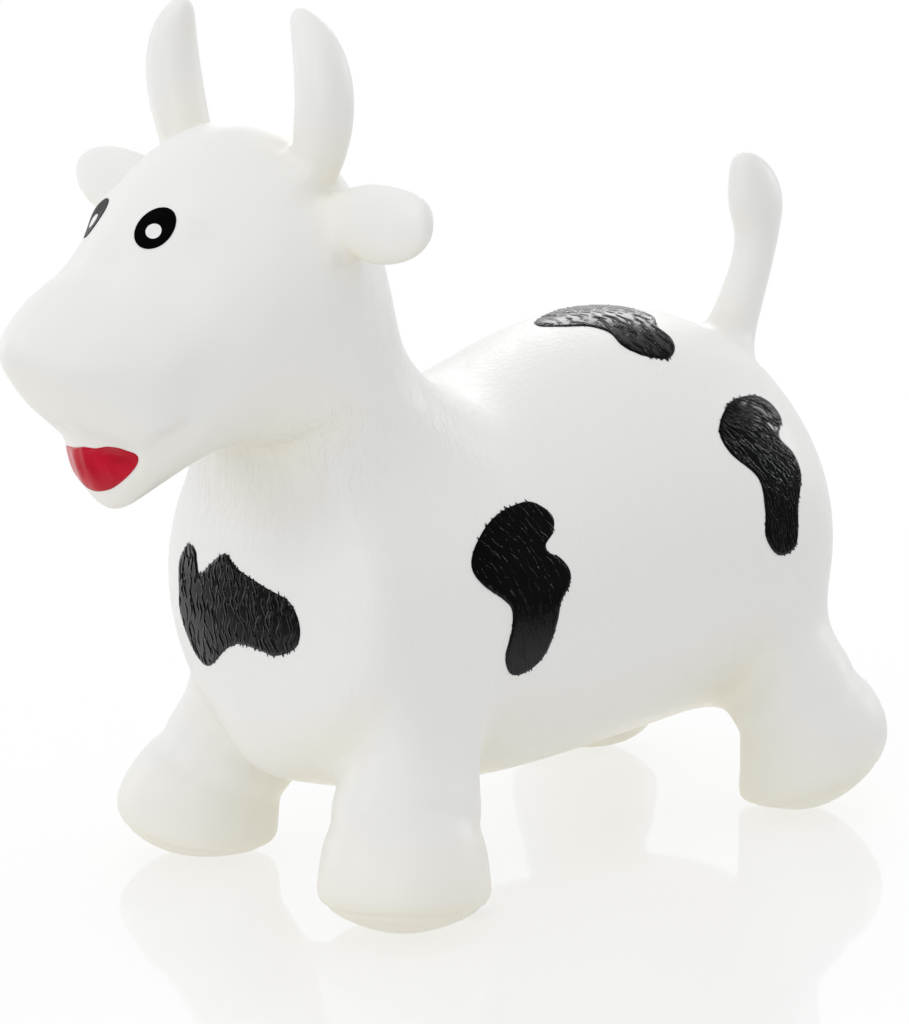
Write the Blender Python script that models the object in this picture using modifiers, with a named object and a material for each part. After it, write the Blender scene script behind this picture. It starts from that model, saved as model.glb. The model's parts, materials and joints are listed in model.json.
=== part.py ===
"""An inflatable ride-on cow: one soft moulding, built as shells that meet at its creases.

Metres, +Z up. The cow faces -Y, its left side is +X, and it stands on the floor at z = 0.
A coarse cage of four-sided faces is grown over the whole animal, smoothed once, and divided
into regions. Each region becomes a thin shell with an open end where it joins its neighbour.
"""
import math
from typing import NamedTuple

import bmesh
import bpy
from mathutils import Matrix, Vector
from mathutils.bvhtree import BVHTree

# Skin
WALL = 0.0022
PAINT = 0.0005
CLEARANCE = 0.0003

# Torso
TORSO_LENGTH = 0.400
TORSO_HEIGHT = 0.260
TORSO_WIDTH = 0.224
BELLY_HEIGHT = 0.044
RUMP_BULGE = 0.016
CHEST_BULGE = 0.010

# Head
HEAD_LENGTH = 0.190
HEAD_HEIGHT = 0.195
HEAD_WIDTH = 0.168
MUZZLE_BULGE = 0.042
MUZZLE_LEAN = 0.025
HEAD_BACK_SHARE = -0.2725
JAW_HEIGHT_SHARE = 0.745

# Horns
HORN_LENGTH = 0.084
HORN_THICKNESS = 0.033
HORN_PLACE_SHARES = (0.645, 0.43, 0.875)

# Ears
EAR_LENGTH = 0.070
EAR_HEIGHT = 0.040
EAR_THICKNESS = 0.020
EAR_PLACE_SHARES = (0.88, 0.43, 0.765)

# Legs and feet
FOOT_WIDTH = 0.096
FRONT_FEET_APART = 0.176
HIND_FEET_APART = 0.196
FRONT_LEG_PLACE_SHARE = -0.4075
HIND_LEG_PLACE_SHARE = 0.4025
FRONT_LEG_TOP_SHARE = 0.10
HIND_LEG_TOP_SHARE = 0.14
SOLE_RIM = 0.0055
SOLE_CUT = 0.0005

# Tail
TAIL_LENGTH = 0.117
TAIL_THICKNESS = 0.026
TAIL_PLACE_SHARES = (0.4525, 0.855)

# Domed tips of the horns, ears and tail
TIP_BULGE = 0.003

# Valve under the belly
VALVE_BORE = 0.006
VALVE_NECK = 0.012
VALVE_FLANGE = 0.022
VALVE_FLANGE_THICKNESS = 0.0014
VALVE_REACH = 0.006
VALVE_PLACE_SHARE = -0.075
PLUG_HEAD = 0.013
PLUG_HEAD_THICKNESS = 0.0016
PLUG_LENGTH = 0.0095
PLUG_TAPER = 0.0008
OVERRUN = 0.010

# Eyes
EYE_WIDTH = 0.021
EYE_HEIGHT = 0.024
EYE_DOT = 0.008
EYE_PLACE_SHARES = (0.285, 0.865, 0.752)
EYE_FACING_SHARES = (0.68, -0.59, 0.44)

# Mouth
MOUTH_WIDTH = 0.074
MOUTH_HEIGHT = 0.028
MOUTH_PLACE_SHARE = 0.122

# Painted patches: length or width, then height
FLANK_PATCH = (0.069, 0.092)
RUMP_PATCH = (0.065, 0.089)
CHEST_PATCH = (0.108, 0.067)
BACK_PATCH = (0.084, 0.062)
PATCH_DEPTH = 0.060

# Colours as shares of full red, green and blue, and how rough the skin and the paint are
WHITE_SHARES = (0.92, 0.92, 0.90)
BLACK_SHARES = (0.015, 0.015, 0.016)
RED_SHARES = (0.60, 0.02, 0.02)
SKIN_ROUGHNESS_SHARE = 0.45
PAINT_ROUGHNESS_SHARE = 0.30

# A smoothed ring of few corners shrinks: these widen it so that the named sizes come out
RING_OF_16_SHARE = 3 / (2 + math.cos(math.tau / 16))
RING_OF_8_SHARE = 3 / (2 + math.cos(math.tau / 8))
# The middle corner of a domed end sinks when it is smoothed: this deepens it likewise
DOME_SHARE = 36 / 16

# Torso sections from rump to chest: top place and height, bottom place and height, half width
TORSO_SHARES = [
    (0.480, 0.675, 0.500, 0.220, 0.535),
    (0.465, 0.765, 0.475, 0.095, 0.780),
    (0.430, 0.850, 0.385, 0.045, 0.905),
    (0.360, 0.930, 0.290, 0.030, 0.975),
    (0.255, 0.990, 0.180, 0.020, 1.000),
    (0.140, 0.995, 0.070, 0.010, 0.990),
    (0.030, 0.955, -0.035, 0.005, 0.975),
    (-0.075, 0.900, -0.115, 0.005, 0.955),
    (-0.170, 0.875, -0.195, 0.015, 0.940),
    (-0.260, 0.890, -0.280, 0.030, 0.930),
    (-0.345, 0.890, -0.360, 0.050, 0.895),
    (-0.420, 0.860, -0.435, 0.110, 0.850),
    (-0.470, 0.815, -0.485, 0.210, 0.765),
]
TORSO_FULL_SHARE = 0.02

# Head sections from nape to muzzle: top reach and height, bottom reach and height, half width,
# then how wide it stays below and above, how square the jaw is, and the sideways lift in degrees
HEAD_SHARES = [
    (0.000, 0.310, 0.505, 0.135, 0.855, 0.95, 1.00, 0.90, 0),
    (0.070, 0.480, 0.565, 0.125, 0.895, 0.90, 1.00, 0.85, 6),
    (0.110, 0.675, 0.635, 0.125, 0.940, 0.84, 1.00, 0.80, 12),
    (0.200, 0.845, 0.700, 0.115, 0.990, 0.76, 1.00, 0.80, 18),
    (0.325, 0.960, 0.755, 0.090, 1.000, 0.68, 1.00, 0.75, 20),
    (0.460, 1.000, 0.805, 0.065, 0.975, 0.60, 1.00, 0.70, 20),
    (0.595, 0.990, 0.855, 0.035, 0.930, 0.54, 0.85, 0.70, 16),
    (0.760, 0.925, 0.900, 0.010, 0.835, 0.50, 0.70, 0.70, 10),
    (0.870, 0.805, 0.935, 0.000, 0.760, 0.46, 0.60, 0.70, 4),
    (1.000, 0.685, 0.985, 0.030, 0.715, 0.44, 0.70, 0.70, 0),
]

# Horn rings from root to tip: sideways, forwards, up, radius, and the ring's turn in degrees
HORN_SHARES = [
    (-0.030, 0.000, 0.040, 0.820, 28),
    (0.060, 0.005, 0.240, 0.930, 12),
    (0.110, 0.025, 0.525, 0.960, -6),
    (0.060, 0.050, 0.810, 0.770, -20),
    (-0.085, 0.070, 0.990, 0.350, -34),
]

# Ear rings from root to tip: sideways, forwards, up, half height, half thickness, turn
EAR_SHARES = [
    (0.040, 0.000, -0.040, 0.880, 1.200, -22),
    (0.230, 0.030, 0.000, 1.000, 1.000, 0),
    (0.545, 0.045, 0.015, 1.075, 0.900, 0),
    (0.855, 0.055, 0.045, 0.850, 0.800, 0),
    (1.000, 0.070, 0.070, 0.450, 0.500, 0),
]

# Leg rings from torso to sole: offset outwards, height, two half widths, and turn in degrees.
# The last ring is the sole's rim, whose height is a size of its own
FRONT_LEG_SHARES = [
    (-0.52, 0.960, 0.80, 0.85, 46),
    (-0.06, 0.600, 0.91, 0.97, 15),
    (0.04, 0.390, 0.98, 0.99, 11),
    (0.05, 0.225, 1.00, 1.00, 10),
]
FRONT_SOLE_SHARES = (-0.03, 0.64)
HIND_LEG_SHARES = [
    (-0.45, 1.010, 0.79, 0.80, 38),
    (-0.08, 0.650, 0.95, 0.92, 23),
    (-0.03, 0.430, 1.01, 0.99, 22),
    (-0.05, 0.240, 0.98, 0.98, 19),
]
HIND_SOLE_SHARES = (-0.24, 0.56)

# Tail rings from root to tip: backwards, up, half depth, half width, and turn in degrees
TAIL_SHARES = [
    (0.000, 0.000, 1.230, 1.230, 34),
    (0.090, 0.195, 1.060, 1.060, 24),
    (0.190, 0.410, 0.940, 0.940, 12),
    (0.230, 0.580, 1.020, 1.020, 0),
    (0.215, 0.750, 1.640, 1.180, -14),
    (0.150, 0.900, 1.150, 0.950, -32),
    (0.080, 0.985, 0.480, 0.480, -42),
]

# Outlines of the paint, in shares of each patch's own size
MOUTH_SHARES = [
    (0.50, 0.48), (0.42, 0.54), (0.22, 0.49), (0.00, 0.45), (-0.22, 0.49), (-0.42, 0.54),
    (-0.50, 0.48), (-0.49, 0.32), (-0.42, 0.10), (-0.30, -0.16), (-0.15, -0.37), (0.00, -0.46),
    (0.15, -0.37), (0.30, -0.16), (0.42, 0.10), (0.49, 0.32),
]
FLANK_SHARES = [
    (0.28, 0.50), (0.00, 0.50), (-0.31, 0.42), (-0.50, 0.27), (-0.41, 0.13), (-0.19, -0.01),
    (-0.16, -0.20), (-0.18, -0.33), (0.03, -0.50), (0.24, -0.45), (0.32, -0.32), (0.36, -0.16),
    (0.50, 0.00), (0.43, 0.14), (0.30, 0.23), (0.44, 0.34), (0.43, 0.46),
]
RUMP_SHARES = [
    (0.15, 0.50), (-0.22, 0.49), (-0.50, 0.37), (-0.45, 0.22), (-0.16, 0.03), (-0.12, -0.18),
    (-0.13, -0.36), (0.06, -0.50), (0.32, -0.47), (0.37, -0.21), (0.50, -0.02), (0.46, 0.12),
    (0.31, 0.24), (0.48, 0.33), (0.40, 0.44),
]
CHEST_SHARES = [
    (-0.40, 0.44), (-0.29, 0.23), (-0.09, 0.46), (0.03, 0.37), (0.25, 0.28), (0.42, 0.21),
    (0.49, 0.03), (0.46, -0.15), (0.32, -0.26), (0.19, -0.25), (0.04, -0.25), (-0.07, -0.33),
    (-0.25, -0.54), (-0.38, -0.47), (-0.50, -0.20), (-0.51, 0.05), (-0.47, 0.32),
]
BACK_SHARES = [
    (0.48, 0.26), (0.50, 0.14), (0.50, -0.08), (0.37, -0.21), (0.18, -0.19), (0.03, -0.26),
    (-0.10, -0.41), (-0.26, -0.50), (-0.38, -0.42), (-0.46, -0.20), (-0.50, 0.05), (-0.42, 0.30),
    (-0.20, 0.47), (0.06, 0.50), (0.24, 0.40),
]

# Places of the patches on the torso: across half its width, along its length, up its height
FLANK_PLACE_SHARES = (1.0, -0.226, 0.512)
RUMP_PLACE_SHARES = (1.0, 0.263, 0.642)
CHEST_PLACE_SHARES = (-0.071, -0.5, 0.463)
BACK_PLACE_SHARES = (0.161, 0.145, 1.0)
RIGHT_FLANK_PLACE_SHARES = (-1.0, 0.020, 0.560)
RIGHT_RUMP_PLACE_SHARES = (-1.0, 0.330, 0.480)

# The cage grows from a grid of 4 by 4 faces, so its rings have 16 corners
LATTICE = 4
HALF_LATTICE = LATTICE // 2
TURNED_SIDES = 16
SIDES = {"left": 1, "right": -1}
# An edge that turns sharply is drawn in no further than if it turned by this share
LEAST_TURN_SHARE = 0.5
SHARP_SKIN_ANGLE = math.radians(50)
SHARP_VALVE_ANGLE = math.radians(40)
OUT_X, OUT_Y, OUT_Z = Vector((1, 0, 0)), Vector((0, 1, 0)), Vector((0, 0, 1))

TORSO_TOP = BELLY_HEIGHT + TORSO_HEIGHT
HEAD_BACK = HEAD_BACK_SHARE * TORSO_LENGTH
JAW_HEIGHT = BELLY_HEIGHT + JAW_HEIGHT_SHARE * TORSO_HEIGHT


class Section(NamedTuple):
    """One cross-section of a tube, named by its top and bottom points."""
    top: Vector
    bottom: Vector
    half_width: float
    low_share: float = 1.0
    high_share: float = 1.0
    square_share: float = 1.0
    full_share: float = 0.0
    lift: float = 0.0


class Cage:
    """The growing mesh, with the name of the piece that each face belongs to."""

    def __init__(self):
        self.mesh = bmesh.new()
        self.column = self.mesh.verts.layers.int.new("column")
        self.row = self.mesh.verts.layers.int.new("row")
        self.piece = self.mesh.faces.layers.int.new("piece")
        self.names = []

    def number(self, name):
        if name not in self.names:
            self.names.append(name)
        return self.names.index(name)

    def extrude(self, faces, name):
        """Raise a patch of faces and return the raised faces and their corners."""
        result = bmesh.ops.extrude_face_region(self.mesh, geom=with_edges(faces))
        verts = [item for item in result["geom"] if isinstance(item, bmesh.types.BMVert)]
        raised = [item for item in result["geom"] if isinstance(item, bmesh.types.BMFace)]
        for vert in verts:
            for face in vert.link_faces:
                face[self.piece] = self.number(name)
        return raised, verts

    def tube(self, faces, sections, names, cap):
        """Grow a 4 by 4 patch of faces through the sections and return its rings of corners."""
        rings = []
        for count, (section, name) in enumerate(zip(sections, names), 1):
            faces, verts = self.extrude(faces, name)
            bulge = cap if count == len(sections) else ()
            for vert in verts:
                vert.co = section_point(section, vert[self.column], vert[self.row], *bulge)
            rings.append({(vert[self.column], vert[self.row]): vert for vert in verts})
        return rings

    def patch(self, rings, stations, slots, side):
        """Find the faces between some stations along a tube and some corners round it."""
        corners = [[rings[station][ring_corner(slot, side)] for slot in slots] for station in stations]
        faces = []
        for here, ahead in zip(corners, corners[1:]):
            for four in zip(here, ahead, ahead[1:], here[1:]):
                faces += [face for face in four[0].link_faces if set(face.verts) == set(four)]
        return corners, faces

    def grow(self, rings, stations, slots, side, ovals, names):
        """Grow a limb of 8 sides from a 2 by 2 patch, one oval for each ring."""
        corners, faces = self.patch(rings, stations, slots, side)
        for i, line in enumerate(corners):
            for k, vert in enumerate(line):
                vert[self.column] = i - 1
                vert[self.row] = k - 1
        for oval, name in zip(ovals, names):
            faces, verts = self.extrude(faces, name)
            for vert in verts:
                vert.co = oval(vert[self.column], vert[self.row])


def with_edges(faces):
    edges = {edge for face in faces for edge in face.edges}
    verts = {vert for face in faces for vert in face.verts}
    return list(faces) + list(edges) + list(verts)


def ring_corner(slot, side):
    """Column and row of the ring's corner that lies so many places from its top."""
    column = min(abs(slot), HALF_LATTICE, 2 * LATTICE - abs(slot))
    row = max(-HALF_LATTICE, min(HALF_LATTICE, LATTICE - abs(slot)))
    return (column * side if slot >= 0 else -column * side), row


def lattice_angle(column, row):
    """Angle round the ring, from its top, of a place on the square lattice."""
    size = max(abs(column), abs(row))
    if size == 0:
        return 0.0
    if row == size:
        return math.radians(45 * column / size)
    if column == size:
        return math.radians(90 - 45 * row / size)
    if row == -size:
        return math.radians(180 - 45 * column / size)
    return math.radians(270 + 45 * row / size)


def section_point(section, column, row, bulge=0.0, outward=OUT_Y, lean=0.0):
    """Place one lattice corner on a section: round above, squarer below where asked."""
    share = max(abs(column), abs(row)) / HALF_LATTICE
    angle = lattice_angle(column, row)
    angle -= math.radians(section.lift) * math.sin(angle)
    up, across = math.cos(angle), math.sin(angle)
    width = 1 + (section.high_share - 1) * max(0, up) + (section.low_share - 1) * max(0, -up)
    height = up if up > 0 else -abs(up) ** section.square_share
    swell = share * RING_OF_16_SHARE * (1 + section.full_share * abs(math.sin(2 * angle)))
    middle = (section.top + section.bottom) / 2
    half_height = (section.top - section.bottom) / 2
    point = middle + half_height * height * swell
    point += OUT_X * (section.half_width * across * width * swell)
    tilt = lean * up if 0 < share < 1 else 0.0
    return point + outward * (bulge * (1 - share ** 4) + tilt)


def oval(centre, axis_i, axis_k, bulge):
    """Return the function that places the 3 by 3 corners of a limb's ring or domed end."""
    def place(i, k):
        share = max(abs(i), abs(k))
        angle = lattice_angle(i, k)
        spread = (axis_i * math.sin(angle) + axis_k * math.cos(angle)) * RING_OF_8_SHARE * share
        return centre + spread + bulge * (1 - share)
    return place


def torso_sections():
    sections = []
    for top_y, top_z, bottom_y, bottom_z, width in TORSO_SHARES:
        top = Vector((0, top_y * TORSO_LENGTH, BELLY_HEIGHT + top_z * TORSO_HEIGHT))
        bottom = Vector((0, bottom_y * TORSO_LENGTH, BELLY_HEIGHT + bottom_z * TORSO_HEIGHT))
        sections.append(Section(top, bottom, width * TORSO_WIDTH / 2, full_share=TORSO_FULL_SHARE))
    return sections


def head_point(across, forwards, up):
    """A place in shares of the head: half its width, its length and its height."""
    return Vector((across * HEAD_WIDTH / 2, HEAD_BACK - forwards * HEAD_LENGTH,
                   JAW_HEIGHT + up * HEAD_HEIGHT))


def head_sections():
    sections = []
    for top_y, top_z, bottom_y, bottom_z, width, low, high, square, lift in HEAD_SHARES:
        top, bottom = head_point(0, top_y, top_z), head_point(0, bottom_y, bottom_z)
        sections.append(Section(top, bottom, width * HEAD_WIDTH / 2, low, high, square, 0.0, lift))
    return sections


def horn_ovals(side):
    root = head_point(side * HORN_PLACE_SHARES[0], *HORN_PLACE_SHARES[1:])
    ovals = []
    for count, (across, forwards, up, radius, turn) in enumerate(HORN_SHARES, 1):
        centre = root + Vector((across * side, -forwards, up)) * HORN_LENGTH
        spin = Matrix.Rotation(math.radians(turn * side), 3, "Y")
        half = radius * HORN_THICKNESS / 2
        bulge = spin @ OUT_Z * (TIP_BULGE if count == len(HORN_SHARES) else 0)
        ovals.append(oval(centre, spin @ OUT_Y * -half, spin @ OUT_X * (half * side), bulge))
    return ovals


def ear_ovals(side):
    root = head_point(side * EAR_PLACE_SHARES[0], *EAR_PLACE_SHARES[1:])
    ovals = []
    for count, (across, forwards, up, height, thickness, turn) in enumerate(EAR_SHARES, 1):
        centre = root + Vector((across * side, -forwards, up)) * EAR_LENGTH
        spin = Matrix.Rotation(math.radians(turn * side), 3, "Y")
        bulge = OUT_X * (side * TIP_BULGE if count == len(EAR_SHARES) else 0)
        thick = spin @ OUT_Y * (-thickness * EAR_THICKNESS / 2)
        ovals.append(oval(centre, thick, spin @ OUT_Z * (-height * EAR_HEIGHT / 2), bulge))
    return ovals


def leg_ovals(side, fore, apart, place, top_share, rings, sole):
    """Rings of a leg that splays outwards and forwards, or outwards and backwards."""
    top = BELLY_HEIGHT + top_share * TORSO_HEIGHT
    outward = Vector((side, fore, 0)).normalized()
    foot = Vector((side * apart / 2, place * TORSO_LENGTH, 0))
    ovals = []
    for offset, height, width, depth, turn in rings:
        centre = foot + outward * (offset * FOOT_WIDTH / 2) + OUT_Z * (height * top)
        spin = Matrix.Rotation(math.radians(-turn), 3, OUT_Z.cross(outward))
        axis_i = spin @ OUT_Y * (-depth * FOOT_WIDTH / 2)
        axis_k = spin @ OUT_X * (-width * side * FOOT_WIDTH / 2)
        ovals.append(oval(centre, axis_i, axis_k, Vector()))
    rim = foot + outward * (sole[0] * FOOT_WIDTH / 2) + OUT_Z * SOLE_RIM
    half = sole[1] * FOOT_WIDTH / 2
    dome = OUT_Z * (-(SOLE_RIM + SOLE_CUT) * DOME_SHARE)
    ovals.append(oval(rim, OUT_Y * -half, OUT_X * (-half * side), dome))
    return ovals


def tail_ovals():
    root = Vector((0, TAIL_PLACE_SHARES[0] * TORSO_LENGTH,
                   BELLY_HEIGHT + TAIL_PLACE_SHARES[1] * TORSO_HEIGHT))
    ovals = []
    for count, (back, up, depth, width, turn) in enumerate(TAIL_SHARES, 1):
        centre = root + Vector((0, back, up)) * TAIL_LENGTH
        spin = Matrix.Rotation(math.radians(-turn), 3, "X")
        bulge = spin @ OUT_Z * (TIP_BULGE if count == len(TAIL_SHARES) else 0)
        axis_i = spin @ OUT_Y * (-depth * TAIL_THICKNESS / 2)
        ovals.append(oval(centre, axis_i, OUT_X * (width * TAIL_THICKNESS / 2), bulge))
    return ovals


def grow_cage():
    """Grow the whole animal: torso, then neck and head, then legs, horns, ears and tail."""
    cage = Cage()
    sections = torso_sections()
    cage.number("torso")
    bmesh.ops.create_grid(cage.mesh, x_segments=LATTICE, y_segments=LATTICE, size=HALF_LATTICE)
    for vert in cage.mesh.verts:
        vert[cage.column] = round(vert.co.x)
        vert[cage.row] = round(vert.co.y)
        vert.co = section_point(sections[0], vert[cage.column], vert[cage.row], RUMP_BULGE)
    rump = {(vert[cage.column], vert[cage.row]): vert for vert in cage.mesh.verts}
    names = ["torso"] * (len(sections) - 1)
    torso = [rump] + cage.tube(list(cage.mesh.faces), sections[1:], names, (CHEST_BULGE, -OUT_Y))

    corners, faces = cage.patch(torso, (8, 9, 10, 11, 12), (-2, -1, 0, 1, 2), 1)
    for i, line in enumerate(corners):
        for k, vert in enumerate(line):
            vert[cage.column] = k - HALF_LATTICE
            vert[cage.row] = HALF_LATTICE - i
    names = ["neck"] * 2 + ["head"] * (len(HEAD_SHARES) - 2)
    head = cage.tube(faces, head_sections(), names, (MUZZLE_BULGE, -OUT_Y, MUZZLE_LEAN))

    for name, side in SIDES.items():
        front = leg_ovals(side, -1, FRONT_FEET_APART, FRONT_LEG_PLACE_SHARE, FRONT_LEG_TOP_SHARE,
                          FRONT_LEG_SHARES, FRONT_SOLE_SHARES)
        hind = leg_ovals(side, 1, HIND_FEET_APART, HIND_LEG_PLACE_SHARE, HIND_LEG_TOP_SHARE,
                         HIND_LEG_SHARES, HIND_SOLE_SHARES)
        for end, ovals, stations in (("front", front, (9, 10, 11)), ("rear", hind, (1, 2, 3))):
            leg, foot = f"leg_{end}_{name}", f"foot_{end}_{name}"
            cage.grow(torso, stations, (5, 6, 7), side, ovals, (leg, leg, foot, foot, foot))
    for name, side in SIDES.items():
        names = [f"horn_root_{name}"] + [f"horn_{name}"] * (len(HORN_SHARES) - 1)
        cage.grow(head, (4, 5, 6), (1, 2, 3), side, horn_ovals(side), names)
    for name, side in SIDES.items():
        names = [f"ear_root_{name}"] * 2 + [f"ear_{name}"] * (len(EAR_SHARES) - 2)
        cage.grow(head, (3, 4, 5), (3, 4, 5), side, ear_ovals(side), names)
    names = ["tail_root"] * 2 + ["tail"] * (len(TAIL_SHARES) - 2)
    cage.grow(torso, (1, 2, 3), (-1, 0, 1), 1, tail_ovals(), names)
    bmesh.ops.recalc_face_normals(cage.mesh, faces=cage.mesh.faces)
    return cage


def smooth_skin(cage):
    """Smooth the cage once, cut the soles flat, and store each point's outward direction."""
    mesh = bpy.data.meshes.new("cage")
    cage.mesh.to_mesh(mesh)
    body = bpy.data.objects.new("cage", mesh)
    bpy.context.scene.collection.objects.link(body)
    subdivision = body.modifiers.new("smooth", "SUBSURF")
    subdivision.levels = 1
    subdivision.render_levels = 1
    evaluated = body.evaluated_get(bpy.context.evaluated_depsgraph_get())
    skin = bmesh.new()
    skin.from_mesh(evaluated.to_mesh())
    evaluated.to_mesh_clear()
    bpy.data.objects.remove(body)
    bpy.data.meshes.remove(mesh)
    cut_soles(skin)
    bmesh.ops.triangulate(skin, faces=skin.faces, quad_method="SHORT_EDGE")
    bmesh.ops.recalc_face_normals(skin, faces=skin.faces)
    skin.normal_update()
    outward = skin.verts.layers.float_vector.new("outward")
    for vert in skin.verts:
        vert[outward] = vert.normal
    return skin


def cut_soles(skin):
    """Flatten the domed soles where they stand on the floor."""
    result = bmesh.ops.bisect_plane(skin, geom=list(skin.verts) + list(skin.edges) + list(skin.faces),
                                    plane_co=Vector(), plane_no=OUT_Z, clear_inner=True)
    rims = [item for item in result["geom_cut"] if isinstance(item, bmesh.types.BMEdge)]
    piece = skin.faces.layers.int["piece"]
    for face in bmesh.ops.holes_fill(skin, edges=rims)["faces"]:
        for other in face.edges[0].link_faces:
            if other is not face:
                face[piece] = other[piece]


def draw_in(shell):
    """Draw a region's open edge in by half the clearance, so that neighbours don't touch."""
    moves = {}
    for edge in [edge for edge in shell.edges if edge.is_boundary]:
        face = edge.link_faces[0]
        along = (edge.verts[1].co - edge.verts[0].co).normalized()
        inward = along.cross(face.normal).normalized()
        if inward.dot(face.calc_center_median() - edge.verts[0].co) < 0:
            inward.negate()
        for vert in edge.verts:
            moves.setdefault(vert, []).append(inward)
    for vert, inwards in moves.items():
        middle = sum(inwards, Vector()).normalized()
        vert.co += middle * (CLEARANCE / 2 / max(LEAST_TURN_SHARE, middle.dot(inwards[0])))


def shell_mesh(skin, number, near, far, gap):
    """A closed thin shell of one region, between two distances from the skin's surface."""
    shell = skin.copy()
    piece = shell.faces.layers.int["piece"]
    others = [face for face in shell.faces if face[piece] != number]
    bmesh.ops.delete(shell, geom=others, context="FACES")
    outward = shell.verts.layers.float_vector["outward"]
    if gap:
        draw_in(shell)
    result = bmesh.ops.extrude_face_region(shell, geom=with_edges(shell.faces), use_keep_orig=True)
    raised = {item for item in result["geom"] if isinstance(item, bmesh.types.BMVert)}
    for vert in shell.verts:
        vert.co += vert[outward] * (far if vert in raised else near)
    bmesh.ops.triangulate(shell, faces=shell.faces, quad_method="SHORT_EDGE")
    bmesh.ops.recalc_face_normals(shell, faces=shell.faces)
    mesh = bpy.data.meshes.new("shell")
    shell.to_mesh(mesh)
    shell.free()
    mesh.shade_smooth()
    mesh.set_sharp_from_angle(angle=SHARP_SKIN_ANGLE)
    return mesh


def paint_material(name, colour, roughness):
    material = bpy.data.materials.new(name)
    material.use_nodes = True
    surface = material.node_tree.nodes["Principled BSDF"]
    surface.inputs["Base Color"].default_value = (*colour, 1)
    surface.inputs["Roughness"].default_value = roughness
    surface.inputs["Metallic"].default_value = 0
    material.diffuse_color = (*colour, 1)
    return material


class Toy:
    """The finished objects: the pieces, the empties that carry them, and the cutters."""

    def __init__(self):
        self.pieces = bpy.data.collections.new("ride_on_cow")
        self.guides = bpy.data.collections.new("cutters")
        for collection in (self.pieces, self.guides):
            bpy.context.scene.collection.children.link(collection)

    def axis(self, name, place, parent=None):
        """An empty at a joint's axis, at a place in the animal's own frame."""
        empty = bpy.data.objects.new(name, None)
        self.guides.objects.link(empty)
        empty["place"] = place
        empty.parent = parent
        empty.location = place - (Vector(parent["place"]) if parent else Vector())
        return empty

    def add(self, name, mesh, colour, roughness, carrier):
        """A piece whose mesh is given in the animal's own frame, carried by an empty."""
        mesh.name = name
        mesh.transform(Matrix.Translation(-Vector(carrier["place"])))
        piece = bpy.data.objects.new(name, mesh)
        mesh.materials.clear()
        mesh.materials.append(paint_material(name, colour, roughness))
        self.pieces.objects.link(piece)
        piece.parent = carrier
        return piece

    def cut(self, piece, cutter, operation):
        cutter.hide_render = True
        cutter.display_type = "WIRE"
        cutter.parent = piece.parent
        cutter.location -= Vector(piece.parent["place"])
        boolean = piece.modifiers.new(cutter.name, "BOOLEAN")
        boolean.operation = operation
        boolean.solver = "EXACT"
        boolean.object = cutter

    def prism(self, name, outlines, place, across, up):
        """A cutter whose flat outlines face along across x up, centred on a place."""
        outward = across.cross(up).normalized()
        curve = bpy.data.curves.new(name, "CURVE")
        curve.dimensions = "2D"
        curve.fill_mode = "BOTH"
        curve.extrude = PATCH_DEPTH / 2
        curve.resolution_u = 2
        for points in outlines:
            spline = curve.splines.new("BEZIER")
            spline.bezier_points.add(len(points) - 1)
            for knot, (u, v) in zip(spline.bezier_points, points):
                knot.co = (u, v, 0)
                knot.handle_left_type = knot.handle_right_type = "AUTO"
            spline.use_cyclic_u = True
        frame = Matrix((across.normalized(), outward.cross(across).normalized(), outward))
        source = bpy.data.objects.new(name, curve)
        self.guides.objects.link(source)
        depsgraph = bpy.context.evaluated_depsgraph_get()
        mesh = bpy.data.meshes.new_from_object(source.evaluated_get(depsgraph))
        bpy.data.objects.remove(source)
        weld = bmesh.new()
        weld.from_mesh(mesh)
        bmesh.ops.remove_doubles(weld, verts=weld.verts, dist=CLEARANCE / 10)
        bmesh.ops.recalc_face_normals(weld, faces=weld.faces)
        weld.to_mesh(mesh)
        weld.free()
        mesh.transform(frame.transposed().to_4x4())
        cutter = bpy.data.objects.new(name, mesh)
        cutter.location = place
        self.guides.objects.link(cutter)
        return cutter


def turned(name, profile):
    """A closed ring or a solid turned about Z from a profile on its right-hand side."""
    mesh = bpy.data.meshes.new(name)
    outline = bmesh.new()
    verts = [outline.verts.new((radius, 0, height)) for radius, height in profile]
    for first, second in zip(verts, verts[1:]):
        outline.edges.new((first, second))
    if profile[0][0] > 0:
        outline.edges.new((verts[-1], verts[0]))
    axis = (Vector(), OUT_Z)
    geometry = list(outline.verts) + list(outline.edges)
    bmesh.ops.spin(outline, geom=geometry, cent=axis[0], axis=axis[1], angle=math.tau, steps=TURNED_SIDES,
                   use_merge=True)
    bmesh.ops.remove_doubles(outline, verts=outline.verts, dist=CLEARANCE / 10)
    bmesh.ops.recalc_face_normals(outline, faces=outline.faces)
    outline.to_mesh(mesh)
    outline.free()
    mesh.shade_smooth()
    mesh.set_sharp_from_angle(angle=SHARP_VALVE_ANGLE)
    return mesh


def ellipse(width, height, count=8):
    turns = [math.tau * i / count for i in range(count)]
    return [(width / 2 * math.cos(turn), height / 2 * math.sin(turn)) for turn in turns]


def scaled(shares, size):
    return [(u * size[0], v * size[1]) for u, v in shares]


def torso_point(across, along, up):
    """A place in shares of the torso: half its width, its length and its height."""
    return Vector((across * TORSO_WIDTH / 2, along * TORSO_LENGTH, BELLY_HEIGHT + up * TORSO_HEIGHT))


def add_skin(toy, skin, cage, carriers):
    for name in cage.names:
        mesh = shell_mesh(skin, cage.number(name), 0.0, -WALL, True)
        toy.add(name, mesh, WHITE_SHARES, SKIN_ROUGHNESS_SHARE, carriers[name])


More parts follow.
